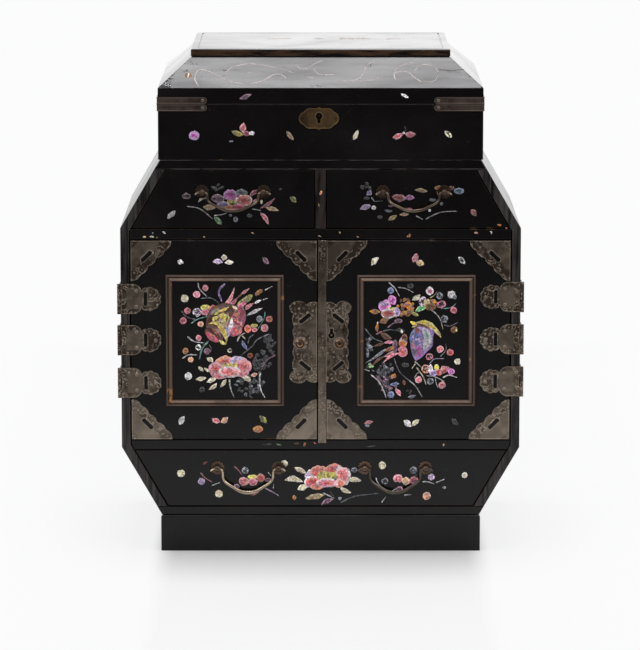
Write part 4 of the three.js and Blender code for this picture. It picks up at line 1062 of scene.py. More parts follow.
def smooth_run(points, shares):
    """Places at the given shares of a smooth curve through the points."""
    ends = [2 * points[0] - points[1], *points, 2 * points[-1] - points[-2]]
    places = []
    for share in shares:
        reach = share * (len(points) - 1)
        step = min(int(reach), len(points) - 2)
        t = reach - step
        a, b, c, d = ends[step:step + 4]
        places.append(0.5 * (2 * b + (c - a) * t + (2 * a - 5 * b + 4 * c - d) * t ** 2
                             + (3 * b - a - 3 * c + d) * t ** 3))
    return places


class Field:
    """Flakes of shell laid on one flat field in one mesh; its points are in millimetres on that field."""

    # A field's colours can all be darkened by one factor: painted shade where less light reaches the field
    def __init__(self, name, body, origin, up=(0, 0, 1), seed=1, painted_shade_level=1.0):
        self.name = name
        self.body = body
        self.origin = Vector(origin)
        self.along = Vector((1, 0, 0))
        self.up = Vector(up).normalized()
        self.outwards = self.along.cross(self.up)
        self.chance = random.Random(seed)
        self.count = 0
        self.raggedness = 0.42
        self.painted_shade_level = painted_shade_level
        self.mesh = bmesh.new()
        self.chart = self.mesh.loops.layers.uv.new("flake")
        self.deep = self.mesh.faces.layers.float_color.new("deep")
        self.pale = self.mesh.faces.layers.float_color.new("pale")
        self.lines = self.mesh.faces.layers.float.new("lines")
        self.bars = self.mesh.faces.layers.float.new("bars")
        self.rimmed = self.mesh.faces.layers.float.new("rimmed")

    def lay(self, flakes):
        for kind, colour, width, *points in flakes:
            shape, *marks = kind.split()
            if shape == "bud":
                x, z = points[0]
                self.flake("petal", colour, 2 * width, [(x - width, z - 0.2), (x + width, z + 0.2)], marks)
            elif shape == "disc":
                x, z = points[0]
                half = width[0] * 0.56
                self.flake("petal", colour, width[1] * 1.12, [(x - half, z), (x + half, z)], marks)
            elif shape == "stamens":
                self.stamens(colour, width, *points)
            elif shape == "shards":
                self.shards(colour.split(), width, *points)
            else:
                self.flake(shape, colour, width, points, marks)

    def flake(self, shape, colour, width, points, marks=()):
        steps = 12 if shape == "twig" else 16 if width > 8 else 8
        if shape == "twig":
            width *= 0.7
        if len(points) == 2 and shape in ("leaf", "plume"):
            start, end = Vector(points[0]), Vector(points[1])
            bow = (end - start).orthogonal() * self.chance.uniform(-0.09, 0.09)
            points = [start, (start + end) / 2 + bow, end]
        grid = bmesh.ops.create_grid(self.mesh, x_segments=steps, y_segments=2, size=0.5)
        faces = {face for vert in grid["verts"] for face in vert.link_faces}
        look = bpy.context.scene.cabinet_inlay
        lift = look.proud / mm + look.layer / mm * self.count
        self.count += 1
        shares = [i / steps for i in range(steps + 1)]
        if shape not in ("twig", "bar"):
            shares = [(1 - math.cos(math.pi * share)) / 2 for share in shares]
        self.colour(faces, colour, (*marks, shape), shares, steps)
        run = smooth_run([Vector(point) for point in points], shares)
        noise_at = self.chance.uniform(0, 50)
        raggedness = self.raggedness * (0.4 if "plain" in marks else 1.0)
        for vert in grid["verts"]:
            step = round((vert.co.x + 0.5) * steps)
            ahead = run[min(step + 1, steps)] - run[max(step - 1, 0)]
            sideways = Vector((-ahead.y, ahead.x)).normalized()
            rough = 1 + raggedness * noise.noise(Vector((noise_at, step * 7.2 / steps, vert.co.y * 3)))
            reach = vert.co.y * width * PROFILES[shape](shares[step]) * rough
            spot = run[step] + sideways * reach
            vert.co = (self.origin + self.along * spot.x + self.up * spot.y + self.outwards * lift) * mm
        bmesh.ops.remove_doubles(self.mesh, verts=grid["verts"], dist=1e-6)

    def colour(self, faces, name, marks, shares, steps):
        deep, pale = NACRE[name]
        if "hollow" in marks:
            deep = DARK_CENTRE
        if "plain" in marks:
            pale = tuple(0.6 * d + 0.4 * p for d, p in zip(deep, pale))
        # Each colour is also darkened by the field's factor, a painted shade
        shift = self.chance.uniform(0.86, 1.14) * self.painted_shade_level * (0.8 if "twig" in marks else 1.0)
        for face in faces:
            face[self.deep] = opaque(tone(*(min(250, c * shift) for c in deep)))
            face[self.pale] = opaque(tone(*(min(252, c * shift) for c in pale)))
            face[self.lines] = 1.0 if "lined" in marks else 0.0
            face[self.bars] = 1.0 if "barred" in marks else 0.0
            face[self.rimmed] = 1.0 if name in RIMMED and "petal" in marks and "plain" not in marks else 0.0
            face.smooth = True
            for loop in face.loops:
                step = round((loop.vert.co.x + 0.5) * steps)
                loop[self.chart].uv = (shares[step], loop.vert.co.y + 0.5)

    def stamens(self, colour, height, start, end):
        """Short upright strokes side by side."""
        count = max(3, round(abs(end[0] - start[0]) / 0.95))
        for i in range(count):
            share = (i + 0.5) / count
            x = start[0] + (end[0] - start[0]) * share + self.chance.uniform(-0.2, 0.2)
            z = start[1] + (end[1] - start[1]) * share + self.chance.uniform(-0.3, 0.3)
            tall = height * self.chance.uniform(0.65, 1.0)
            lean = self.chance.uniform(-0.5, 0.5)
            self.flake("leaf", colour, 0.8, [(x - lean, z - tall / 2), (x + lean, z + tall / 2)])

    def shards(self, colours, size, middle, reach, count):
        """Broken bits strewn over an oval."""
        for _ in range(count):
            angle = self.chance.uniform(0, 2 * math.pi)
            out = math.sqrt(self.chance.uniform(0, 1))
            x = middle[0] + reach[0] * out * math.cos(angle)
            z = middle[1] + reach[1] * out * math.sin(angle)
            turn = self.chance.uniform(0, math.pi)
            half = size * self.chance.uniform(0.3, 0.6)
            step = (half * math.cos(turn), half * math.sin(turn))
            wide = size * self.chance.uniform(0.45, 0.8)
            shape = self.chance.choice(("bar", "leaf", "drop"))
            name = self.chance.choice(colours)
            self.flake(shape, name, wide, [(x - step[0], z - step[1]), (x + step[0], z + step[1])])

    def finish(self, material="nacre"):
        piece = add_piece(self.name, self.mesh, [finish(material)], self.body)
        thickness = piece.modifiers.new("Thickness", "SOLIDIFY")
        thickness.thickness = bpy.context.scene.cabinet_inlay.depth
        thickness.offset = -1
        return piece


# Layouts: kind, colour, width or size, and then the points it runs through
LEFT_PANEL = (
    # A tree trunk of broken bits, and the twigs
    ("shards", "ghost", 3.2, (33.5, -4), (4.5, 8.5), 24),
    ("shards", "ghost", 3.4, (28, -17), (6.5, 9), 30),
    ("shards", "ghost ghost ghost ghost grey", 3, (19, -35), (12, 8.5), 50),
    ("shards", "grey white", 1.6, (9.8, -32), (1.6, 3.6), 5),
    ("shards", "grey", 1.6, (24.5, -33), (2.2, 3), 4),
    ("twig", "white", 1.3, (-20, 44.2), (-18.8, 39.2), (-13.2, 33.2)),
    ("twig", "grey", 1.1, (-18.2, 31.9), (-10.1, 32.2), (-3.9, 27.8)),
    ("twig", "violet", 2.4, (0.5, 43.6), (-4.5, 37.3), (-2, 29)),
    ("twig", "grey", 1.3, (-32.5, 22.7), (-28.8, 18), (-21.3, 15.8)),
    ("twig", "cyan", 1.2, (-25.5, 12.8), (-20.3, 16.2), (-10.1, 18.9)),
    ("twig", "white", 1.5, (-28.5, 3.1), (-23.2, -0.7), (-15.4, -1.9)),
    ("twig", "cyan", 2.4, (-12, 0), (-17, -6.3), (-19.5, -14.6)),
    ("twig", "grey", 0.8, (-12, -3.2), (-10.4, -6), (-10.7, -8.9)),
    ("twig", "white", 1.5, (-32.2, -13.9), (-27.6, -11.1), (-20.7, -11.1)),
    ("twig", "cyan", 1.1, (30.1, 22.1), (29.4, 16.4), (23.5, 6.9)),
    ("twig", "grey", 1.3, (22, 4.7), (18.5, 1.9), (17.3, -2.6)),
    ("twig", "grey", 1.5, (34.1, 5.3), (24.2, 0.6), (20.4, -4.5), (11.4, -12)),
    ("twig", "mauve", 1.4, (38.5, -10.8), (31.6, -15.2), (26.6, -23.4)),
    ("twig", "white", 1.8, (26.6, -24), (26, -31.6), (27.3, -38.6), (30.4, -44.3)),
    ("twig", "white", 1.6, (3, -29.4), (4.2, -36.7), (6.7, -43.6)),
    # Buds
    ("bud", "cream", 2.9, (-30, 31.9)),
    ("bud", "pink", 2.7, (-21.1, 34.9)),
    ("bud", "pink", 2.2, (-14.5, 39.9)),
    ("bud", "rose", 2.5, (-28.1, 22.7)),
    ("bud", "rose", 2.6, (-31.3, 14.9)),
    ("bud", "peach", 2.3, (-18.2, 12.5)),
    ("bud", "pink", 2.1, (-19.8, 2)),
    ("bud hollow", "white", 2.1, (-20, -5.3)),
    ("bud", "mauve", 2.5, (-13.4, -8.1)),
    ("bud", "amber", 2.2, (-29.7, -8.1)),
    ("bud", "peach", 2.1, (-25.8, -14.6)),
    ("bud", "white", 2.8, (-27.6, -27.3)),
    ("bud", "ghost", 2.1, (-17.4, -37.8)),
    ("bud", "grey", 2.4, (26, 16.4)),
    ("bud", "red", 2.5, (33.3, 16.2)),
    ("bud hollow", "cream", 1.7, (3.6, -7.8)),
    ("bud", "brown", 2.1, (18.9, -11.5)),
    ("leaf", "peach", 3.2, (19.6, -26.6), (24.5, -25.6)),
    # Blossoms
    ("disc hollow", "lilac", (5.8, 6), (-21, 21.5)),
    ("disc", "gold", (6.6, 4), (-14.5, 25)),
    ("disc", "pink", (5.6, 4.6), (-14.8, 21.5)),
    ("disc", "red", (5.6, 5.2), (-8.9, 23.7)),
    ("disc", "red", (4.8, 5), (17.3, 8.8)),
    ("disc", "gold", (4.8, 2.8), (22, 11.3)),
    ("disc", "pink", (3.6, 3), (22.3, 7.9)),
    ("disc", "pink", (5, 5), (29.8, 9.5)),
    # The bird's tail
    ("plume", "pink", 2.9, (-0.8, 25.3), (7.3, 40.4)),
    ("plume", "rose", 2.8, (3.6, 26.8), (9.8, 32.8)),
    ("leaf", "brown", 1.4, (9.8, 32.6), (12.6, 35.2)),
    ("plume", "pink", 2.2, (12.3, 35.3), (18.7, 39.8)),
    ("bar", "mauve", 3, (8.6, 26.8), (14.8, 26.5)),
    ("bar lined", "olive", 4.4, (9.2, 25.9), (21, 34.7)),
    ("bar", "rose", 2.6, (9.8, 25.4), (16.4, 29.6)),
    ("bar lined", "amber", 3, (22.6, 34.4), (28.5, 38.5)),
    ("twig", "white", 1.2, (30.1, 38.2), (36, 41.4)),
    ("plume", "pink", 3, (15.4, 23.4), (21.7, 28.4)),
    ("plume", "white", 2, (22.4, 28.3), (27.6, 30.9)),
    ("twig", "white", 1.1, (28.5, 30.9), (32.3, 32.2)),
    ("leaf", "white", 2.6, (16.4, 18.9), (28.5, 24.6)),
    # The bird's body, wings and head
    ("petal plain", "tan", 8, (-3.4, 16), (1.8, 11), (1.9, 3)),
    ("petal plain", "rose", 12.5, (12, 26), (9, 15), (5.4, 3)),
    ("petal plain", "pink", 8, (3.4, 8.6), (13, 7)),
    ("shards", "rose red pink coral", 2.6, (8.4, 14.2), (4.6, 9.4), 26),
    ("leaf plain", "brown", 14.5, (-14.2, 10.4), (-4, 20), (9.6, 26.4)),
    ("shards", "brown gold amber", 2.4, (-3.4, 19.4), (6.6, 4.4), 16),
    ("leaf", "gold", 2.2, (-3.9, 22.4), (3.3, 25.6)),
    ("leaf", "gold", 2, (-8, 19.6), (-3.9, 22.7)),
    ("leaf", "cream", 2, (5.6, 26.6), (9.8, 23.6)),
    ("bar", "gold", 6, (-9, 13.8), (-3.4, 17), (4.2, 16.4)),
    ("leaf", "brown", 1.8, (-7.4, 12.6), (-6.6, 16.4)),
    ("leaf", "brown", 1.8, (1.2, 14), (2.4, 18.6)),
    ("leaf", "brown", 1.6, (-6.4, 14.8), (-3.8, 18)),
    ("leaf", "brown", 1.6, (-3, 14.3), (-1, 17.2)),
    ("leaf", "cream", 1.7, (-1.4, 17), (-2.6, 13.2)),
    ("leaf", "white", 3.4, (5.4, 17.6), (1.6, 5)),
    ("leaf", "lilac", 3, (0.5, 11.6), (1.9, 6.5), (2.2, 1.9)),
    ("petal plain", "brown", 11, (-14.2, 9.4), (-8.6, 5.6), (-2.2, -0.4)),
    ("petal plain", "rose", 4.6, (-13.6, 6.6), (-10.4, 2.4), (-4.6, -1)),
    ("leaf", "red", 3, (-12, 4.4), (-6.2, 0.2)),
    ("leaf", "amber", 3, (-9.6, 9.2), (-3, 3.4)),
    ("leaf", "brown", 2.6, (-6.6, 5.6), (-1.6, 1)),
    ("leaf", "gold", 4, (-12.8, 12.4), (-7.6, 13.7), (-3.4, 11.6), (-0.9, 6.3), (1.1, 1.9), (0.7, -3.4)),
    ("twig", "brown", 0.5, (-10.7, 12), (-5.1, 9.5), (-1.4, 5.7)),
    ("leaf", "gold", 2.2, (-4.4, 0.4), (0.8, -3)),
    # Its feet
    ("twig", "cream", 1.6, (9.2, -1), (11.1, 3.1), (15.4, 6)),
    ("twig", "cream", 1.1, (12.9, 3.5), (15.7, 0.9)),
    ("leaf", "blue", 2.6, (12.9, 0), (16.7, -7)),
    # Peony and its leaves
    ("leaf", "cream", 3.4, (-13.9, -13.3), (-8.9, -16.5)),
    ("leaf", "cream", 2.8, (-20.1, -19.9), (-16.3, -23.4)),
    ("leaf", "cream", 2, (-15.7, -20.9), (-12.3, -24)),
    ("leaf lined", "cream", 3.6, (-22.3, -29.7), (-14.2, -28.5)),
    ("leaf lined", "cream", 3.6, (-13.9, -31.9), (-6.4, -28.8)),
    ("leaf", "cream", 3.2, (-12.3, -37.6), (-6.1, -32.6)),
    ("leaf lined", "cream", 3.1, (-3.6, -35.9), (1, -29.5)),
    ("leaf lined", "cream", 3.6, (12.6, -26.9), (19.4, -31.6)),
    ("disc", "pink", (11, 4.4), (-3.8, -26.8)),
    ("disc", "coral", (12.6, 7.4), (-0.3, -16.4)),
    ("disc", "red", (8, 3.6), (-0.3, -16)),
    ("disc", "lilac", (12, 7), (10, -16.2)),
    ("disc", "pink", (9.8, 10), (-7, -21.6)),
    ("disc", "red", (3.2, 5), (-6.8, -21.8)),
    ("disc", "pink", (10, 5.6), (12.4, -24.6)),
    ("disc", "pink", (11.6, 9.8), (13.6, -19.8)),
    ("disc", "red", (6, 4.4), (14.2, -19.8)),
    ("disc", "olive", (10, 3.6), (3.6, -19)),
    ("stamens", "gold", 4.2, (-2.4, -18.9), (9.6, -18.7)),
    ("disc", "white", (14.8, 7.6), (3.3, -23.9)),
    ("disc", "pink", (13.4, 6.3), (3.3, -24)),
)
RIGHT_PANEL = (
    # Broken bits low on the left, and the twigs
    ("shards", "ghost grey grey", 3, (-35.3, -3), (2.8, 7), 16),
    ("disc", "grey", (1.6, 6), (-36.4, -10.1)),
    ("shards", "grey green ghost", 2.8, (-35.8, -19.6), (2.8, 1.8), 6),
    ("shards", "ghost ghost grey", 3, (-22.4, -22.6), (6.8, 5.4), 24),
    ("shards", "ghost ghost mauve", 3, (-22, -33), (8, 6), 18),
    ("leaf", "mauve", 2.2, (-30.2, -26.3), (-25.8, -31.6)),
    ("leaf", "grey", 1.4, (-33.4, -22.6), (-31.4, -23.6)),
    ("shards", "amber brown", 3.4, (-15.9, -26.9), (1.2, 1.8), 4),
    ("leaf", "mauve", 3.6, (-25, -30.2), (-22.4, -35.8)),
    ("leaf", "blue", 2.8, (-19.8, -34), (-12.6, -33)),
    ("leaf", "brown", 2.4, (-10, -30.4), (-8.6, -34.2)),
    ("bud", "blue", 2.6, (-19, -41.5)),
    ("leaf", "pink", 3.2, (-15.4, -36.6), (-11.6, -42.6)),
    ("leaf", "grey", 2.4, (-6.2, -43.4), (-0.2, -42)),
    ("shards", "ghost grey", 2, (-5, -38.6), (1.6, 2.4), 4),
    ("disc", "ghost", (5, 3.4), (-8.1, -18.9)),
    ("disc", "ghost", (4.4, 3.6), (-4.4, 41.4)),
    ("twig", "white", 1.1, (-20.9, 44.3), (-16.2, 39.8), (-12.5, 33.2)),
    ("twig", "white", 1.1, (-14, 40.4), (-8.1, 39.5), (-1.9, 36.3)),
    ("twig", "tan", 1, (10, 32.2), (13.1, 34.1), (15.6, 37.3)),
    ("twig", "cyan", 1.4, (18.1, 24.3), (25.6, 24.9), (29.9, 28.1)),
    ("twig", "white", 1.2, (9, 24.6), (14.3, 20.8), (18.1, 15.8), (20.3, 7.6)),
    ("twig", "grey", 1.2, (20.6, 11.7), (25.6, 11), (31.5, 13.9)),
    ("twig", "pink", 1.8, (-30.2, 4.4), (-27.8, 6), (-25.5, 6.9)),
    ("twig", "grey", 1.4, (-25, 7), (-20.4, 8.2), (-16.2, 7.6)),
    ("leaf", "ghost", 2.8, (-16.2, 7.6), (-11.8, 7.9), (-8.3, 6.9)),
    ("leaf", "cream", 2, (-11.4, 8.4), (-10.6, 5.2)),
    ("twig", "mauve", 1.4, (-21.8, 9.5), (-16.8, 13.2), (-10.6, 14.8)),
    ("disc", "mauve", (5.4, 2.8), (-13.4, 14.8)),
    ("twig", "grey", 1.2, (-38.9, 9.5), (-32.4, 1.9), (-24.9, -1.3)),
    ("twig", "grey", 1, (-16.8, -12.7), (-13.7, -21.5), (-10, -26.6), (-3.7, -31.6)),
    ("twig", "white", 1.2, (-5.4, -30.4), (0, -35.4), (5, -43.8)),
    ("twig", "white", 1.6, (-34.3, -25.9), (-28, -31.6), (-24.3, -38.6), (-22.3, -44.6)),
    ("twig", "white", 1.5, (-38.9, -22.1), (-34.9, -23.4)),
    ("twig", "cream", 1.4, (0, -20.3), (5, -27.2), (7.8, -34.2)),
    ("twig", "white", 1.1, (-1.2, -29.1), (0.2, -26), (2.5, -23.7)),
    ("twig", "lilac", 1.3, (10, -18), (13.7, -14.2), (21.2, -13.9)),
    ("twig", "grey", 1.1, (18.1, -12.7), (22.4, -7), (22.1, -2.6)),
    ("twig", "white", 1.2, (7.5, -26.9), (14.3, -27.8), (21.8, -31.6)),
    ("twig", "white", 1.3, (19.9, -28.5), (24.9, -26.6), (31.2, -28.5)),
    ("twig", "white", 1, (14.3, -28.5), (15.3, -32.9), (16.8, -36.7)),
    # Leaves and the amber blossom
    ("leaf lined", "amber", 3.6, (-35.4, 22.2), (-27, 21.6)),
    ("leaf lined", "amber", 4.2, (-27.8, 13.6), (-20.3, 17.4)),
    ("leaf lined", "amber", 2.6, (-29.2, 6.4), (-29, 13)),
    ("leaf", "white", 1, (-29.1, 12.2), (-28.9, 14.4)),
    ("leaf lined", "brown", 4.4, (-26.8, 5.8), (-18, 1.2)),
    ("shards", "amber brown brown", 3.4, (-8.4, 25.1), (6, 6.8), 30),
    ("shards", "amber", 2.6, (-11.5, 19.6), (5, 2.4), 8),
    ("disc", "amber", (5, 4.4), (-6.4, 27.2)),
    ("leaf lined", "cream", 3.6, (-3.3, 30.7), (3, 34.9)),
    ("leaf", "green", 4, (-0.8, 22.2), (8.3, 26)),
    ("leaf lined", "olive", 3, (-3.9, 20.6), (1.8, 18.7)),
    # Blossom above on the left
    ("disc", "violet", (6, 6), (-15.4, 21.6)),
    ("disc", "magenta", (5.6, 6.6), (-18.2, 30.5)),
    ("disc", "magenta", (8.4, 7.6), (-23.7, 25.9)),
    ("disc", "lilac", (5.6, 3), (-25, 28)),
    ("disc", "white", (10.2, 6.4), (-20.9, 20.6)),
    ("disc", "red", (8.4, 4.6), (-21, 20.4)),
    ("stamens", "gold", 3.6, (-21.4, 25.2), (-16.2, 23.6)),
    # Blossoms on the right
    ("disc hollow", "lilac", (5.6, 5.6), (5, 29.7)),
    ("disc", "tan", (4.6, 5), (7.9, 28.8)),
    ("disc", "brown", (7.4, 5.4), (10.8, 25.8)),
    ("leaf", "amber", 2.8, (10.2, 31), (15.6, 28.6)),
    ("disc hollow", "rose", (6.4, 4.6), (18.7, 27.4)),
    ("disc hollow", "coral", (6.2, 6), (7.4, -21.6)),
    ("disc", "white", (3.2, 6.4), (11, -22.4)),
    ("disc", "violet", (5, 4.4), (13, -25)),
    ("disc", "gold", (3.2, 4.6), (15.4, -20.6)),
    ("disc", "red", (4.6, 4), (17.2, -24.4)),
    ("leaf", "pink", 5.6, (17.4, -25.2), (25, -20.6)),
    ("leaf", "red", 2.6, (18.4, -25), (23.4, -22)),
    # Buds
    ("bud", "blue", 2.4, (-19.3, 37.9)),
    ("bud", "white", 2.9, (10, 37.6)),
    ("bud", "rose", 1.9, (10.2, 37.4)),
    ("bud hollow", "grey", 2.5, (17.5, 33.8)),
    ("bud", "white", 2.9, (26.3, 34.9)),
    ("bud", "grey", 1.5, (28.8, 33)),
    ("bud hollow", "grey", 2.7, (21.2, 16.4)),
    ("bud", "brown", 2.5, (28.4, 8.2)),
    ("leaf", "gold", 1.6, (30, 6.4), (30.4, 10)),
    ("bud", "rose", 2.4, (28, 23)),
    ("bud", "pink", 2.6, (18.1, -6.7)),
    ("bud", "red", 2.6, (25.6, -9.2)),
    ("bud hollow", "rose", 2.7, (10, -12.4)),
    ("bud", "cream", 2.3, (31, -16.1)),
    ("bud", "magenta", 2.5, (26.5, -23.7)),
    ("bud", "pink", 2.5, (1.8, -30)),
    ("bud hollow", "grey", 2.5, (10.8, -31.2)),
    ("bud", "pink", 2.7, (19.6, -34.2)),
    # The bird: tail, wing, legs, body, crest
    ("plume", "brown", 2, (-24.6, -2.2), (-32.6, -4.8)),
    ("plume", "pink", 2.6, (-16.8, -1.2), (-24.9, -2.2)),
    ("plume", "grey", 2.2, (-22.4, -6.2), (-38.4, -17.4)),
    ("plume", "amber", 3.2, (-16.6, -4.6), (-24.4, -8.2)),
    ("plume", "brown", 2, (-24.4, -12), (-33.4, -19.4)),
    ("plume", "pink", 2.6, (-16.4, -8.2), (-24.6, -12.6)),
    ("plume", "pink", 2.4, (-13.6, -9.6), (-25, -17.2)),
    ("bar", "mauve", 3.4, (-15.9, 0.6), (-15.9, -9.3)),
    ("disc", "lilac", (5.4, 7.4), (-9.8, -1.2)),
    ("disc", "brown", (4, 5.4), (-8.8, 1.9)),
    ("disc", "amber", (5.4, 4.8), (-10.2, -2.4)),
    ("petal", "rose", 7.4, (-10.2, -4.6), (-10.2, -12.6)),
    ("disc", "red", (3, 3.4), (-10, -9)),
    ("twig", "cream", 1.6, (-1.2, -15.8), (3.9, -20.5)),
    ("twig", "cream", 1.3, (-0.4, -17.6), (-3.3, -21.7)),
    ("drop plain", "violet", 17, (-0.4, -15.4), (4, -1), (8, 12.6)),
    ("petal plain", "blue", 8, (0.6, 9.6), (-1, 1.4), (-1, -6)),
    ("shards", "violet lilac blue magenta", 2.4, (1.4, -0.6), (4, 8.6), 18),
    ("petal plain", "magenta", 6, (2.6, -3.6), (1.6, -12.8)),
    ("petal plain", "grey", 3, (-1.8, -5.4), (-0.8, -12.4)),
    ("petal plain", "pink", 2.2, (-2.6, -1.4), (-2, -6.4)),
    ("petal plain", "rose", 4, (-0.2, 9.8), (1.8, 5.6)),
    ("petal plain", "white", 6, (5, 9.6), (9.2, 1.4), (5.4, -7.6)),
    ("leaf", "cyan", 1.8, (6.2, 7.6), (9.6, 0.4)),
    ("leaf", "grey", 1, (5.4, -0.6), (5, -8.8)),
    ("leaf", "brown", 4.4, (-1.4, 10.4), (4, 12.6), (9.8, 9)),
    ("leaf", "gold", 4, (-1.4, 13.1), (4.4, 14.1), (10.9, 11.6), (16.2, 6.3), (18.7, 2)),
    ("leaf", "cream", 1.4, (10.6, 9.2), (14.4, 7), (17.2, 4)),
    ("leaf", "gold", 2.6, (-4.6, 14.6), (0.6, 12.2)),
    ("leaf", "gold", 1.8, (-3.4, 10), (0.6, 11.6)),
)
LEFT_DOOR = (
    ("leaf", "white", 4, (-107.2, 222.2), (-102.8, 220.2)),
    ("leaf lined", "lilac", 4.2, (-81, 221.4), (-73.2, 221)),
    ("leaf lined", "cream", 4.2, (-72.9, 222.3), (-72.5, 227)),
    ("leaf lined", "cream", 3.8, (-71.9, 220.6), (-65.1, 221)),
    ("leaf", "mauve", 3.6, (-43.3, 225), (-38.8, 219.7)),
    ("leaf", "white", 4.4, (-106.7, 96.8), (-102.7, 103.7)),
    ("leaf lined", "pink", 4.2, (-82.1, 101.9), (-75.6, 99.2)),
    ("leaf lined", "peach", 4.2, (-75.2, 98.8), (-69.8, 103.1)),
    ("leaf lined", "olive", 4.4, (-46.1, 104), (-40.5, 98.2)),
    ("disc", "amber", (7, 4.6), (-47.3, 93.6)),
)
RIGHT_DOOR = (
    ("leaf lined", "cream", 4.2, (38, 218.6), (43.6, 224.7)),
    ("leaf", "pink", 4.6, (69.3, 221), (71.9, 227.8)),
    ("leaf lined", "tan", 4.2, (71.2, 221.4), (77.7, 219.4)),
    ("leaf hollow", "white", 4, (103.1, 225), (108.2, 219.7)),
    ("leaf lined", "pink", 3, (32.9, 97.8), (39.6, 99.5)),
    ("disc", "grey", (3, 1.8), (35.2, 96.4)),
    ("leaf", "white", 4.6, (62.7, 100.4), (68.5, 95.7)),
    ("leaf lined", "cream", 3.8, (68.7, 96), (74.5, 101)),
    ("leaf", "ghost", 4, (99, 102), (103.8, 96.8)),
)
BOTTOM_DRAWER = (
    ("leaf", "brown", 1.6, (-89, 66.5), (-85.4, 68.9)),
    ("bud", "lilac", 2.7, (-90.1, 53.6)),
    ("twig", "pink", 1.2, (-90.9, 60.2), (-86.7, 55.9), (-81.5, 52.6)),
    ("twig", "white", 1, (-82.4, 50.3), (-75.9, 52.7)),
    ("bud", "cream", 2.9, (-76.9, 44)),
    ("twig", "pink", 1.3, (-65.5, 65.2), (-62.2, 62.2), (-59, 58.2)),
    ("bud hollow", "grey", 2.6, (-57, 61.9)),
    ("disc", "pink", (6.6, 6.2), (-58, 53.6)),
    ("disc", "gold", (6.4, 2.8), (-51.5, 57)),
    ("disc", "pink", (6.4, 5.2), (-51.2, 53.3)),
    ("disc", "coral", (5.8, 5.2), (-45.3, 56.3)),
    ("twig", "white", 0.9, (-39.8, 60.6), (-37.5, 57.9)),
    ("disc", "mauve", (4.2, 2.6), (-39.8, 54.6)),
    ("disc", "mauve", (3.8, 3.2), (-63.5, 49.6)),
    ("twig", "lilac", 1.3, (-44, 49.3), (-37.5, 46), (-31.3, 42.3)),
    ("twig", "pink", 1.4, (-52.5, 43), (-48.5, 44), (-45.9, 46.6)),
    ("twig", "white", 1.1, (-35.8, 48), (-35.5, 51.6)),
    ("bud", "cream", 2.7, (-27.4, 67.2)),
    ("leaf lined", "cream", 3.8, (-19.7, 64.4), (-10.9, 60)),
    ("leaf lined", "cream", 4.8, (-27.2, 54.4), (-20.5, 55.5), (-13.2, 53.1)),
    ("leaf", "cream", 4.4, (-17.5, 47.1), (-9.6, 49.8)),
    ("leaf lined", "tan", 4.8, (-11.6, 40.1), (3.1, 43.2)),
    ("disc", "amber", (2.6, 3), (-19.9, 41)),
    ("disc", "lilac", (8, 8), (-7.6, 57.6)),
    ("disc", "coral", (12.6, 8.6), (-1, 61)),
    ("disc", "coral", (14, 8.6), (9.8, 62)),
    ("disc", "white", (11, 12.6), (16.8, 58.4)),
    ("disc", "pink", (9, 10.4), (16.4, 58.6)),
    ("disc", "white", (11.6, 8.6), (-6, 52.8)),
    ("disc", "red", (10, 7), (-5.8, 52.8)),
    ("disc", "coral", (9, 4.4), (-2.6, 49.6)),
    ("disc", "coral", (9, 5.4), (13.8, 52)),
    ("disc", "olive", (14, 6.4), (5, 57.6)),
    ("stamens", "gold", 6.4, (-1.4, 58), (11.6, 58)),
    ("disc", "white", (15.4, 7), (4.9, 52.4)),
    ("disc", "pink", (14, 5.8), (4.9, 52.3)),
    ("disc", "red", (7, 2.6), (4.6, 52.2)),
    ("leaf lined", "cream", 4.4, (20.6, 54.7), (30.8, 54)),
    ("disc", "grey", (4.2, 3.2), (25.5, 62.4)),
    ("bud", "white", 0.9, (32, 62)),
    ("leaf lined", "cream", 3.4, (14.4, 49), (23.2, 44.6)),
    ("leaf", "mauve", 3.6, (0.3, 35.4), (9.8, 39.8)),
    ("twig", "white", 1, (1.6, 44.8), (10.7, 40.3)),
    ("twig", "ghost", 1.6, (6.7, 45.9), (10.3, 41.4)),
    ("bud", "grey", 1.3, (14.6, 40.3)),
    ("twig", "grey", 1.4, (14.6, 36.7), (24, 41.4), (34.2, 43.3), (45, 44.4)),
    ("twig", "white", 1.3, (41.8, 56.5), (43.2, 52.6), (46.1, 49.2)),
    ("bud", "cream", 2.7, (46.6, 65.9)),
    ("bud hollow", "grey", 2.5, (48.6, 53.6)),
    ("twig", "white", 1.2, (46.1, 37), (49.4, 41.8)),
    ("twig", "white", 1.2, (51.9, 44.4), (57.3, 48.1)),
    ("twig", "white", 1.2, (63.1, 42.9), (68.9, 43.3)),
    ("disc", "pink", (6.4, 5.8), (58.4, 55.8)),
    ("disc", "peach", (6, 5.2), (64.5, 54)),
    ("disc", "rose", (6.2, 5.2), (70.7, 54)),
    ("bud", "mauve", 2.5, (59.8, 47.3)),
    ("bud", "grey", 2.8, (70.2, 62.1)),
    ("twig", "violet", 1, (70.7, 58), (72.9, 58.7)),
    ("bud", "lilac", 2.5, (83.7, 56.9)),
    ("twig", "white", 1.1, (76.8, 53.2), (81.2, 53.2), (86.2, 51.4)),
    ("twig", "white", 1, (87, 52.5), (94, 55.4)),
    ("bud", "peach", 3, (80.3, 42.3)),
    ("disc", "white", (2.6, 1.6), (93.5, 48.8)),
    ("bud", "cream", 3, (-105.5, 59.8)),
    ("bud", "cream", 2.2, (108.8, 58.4)),
)
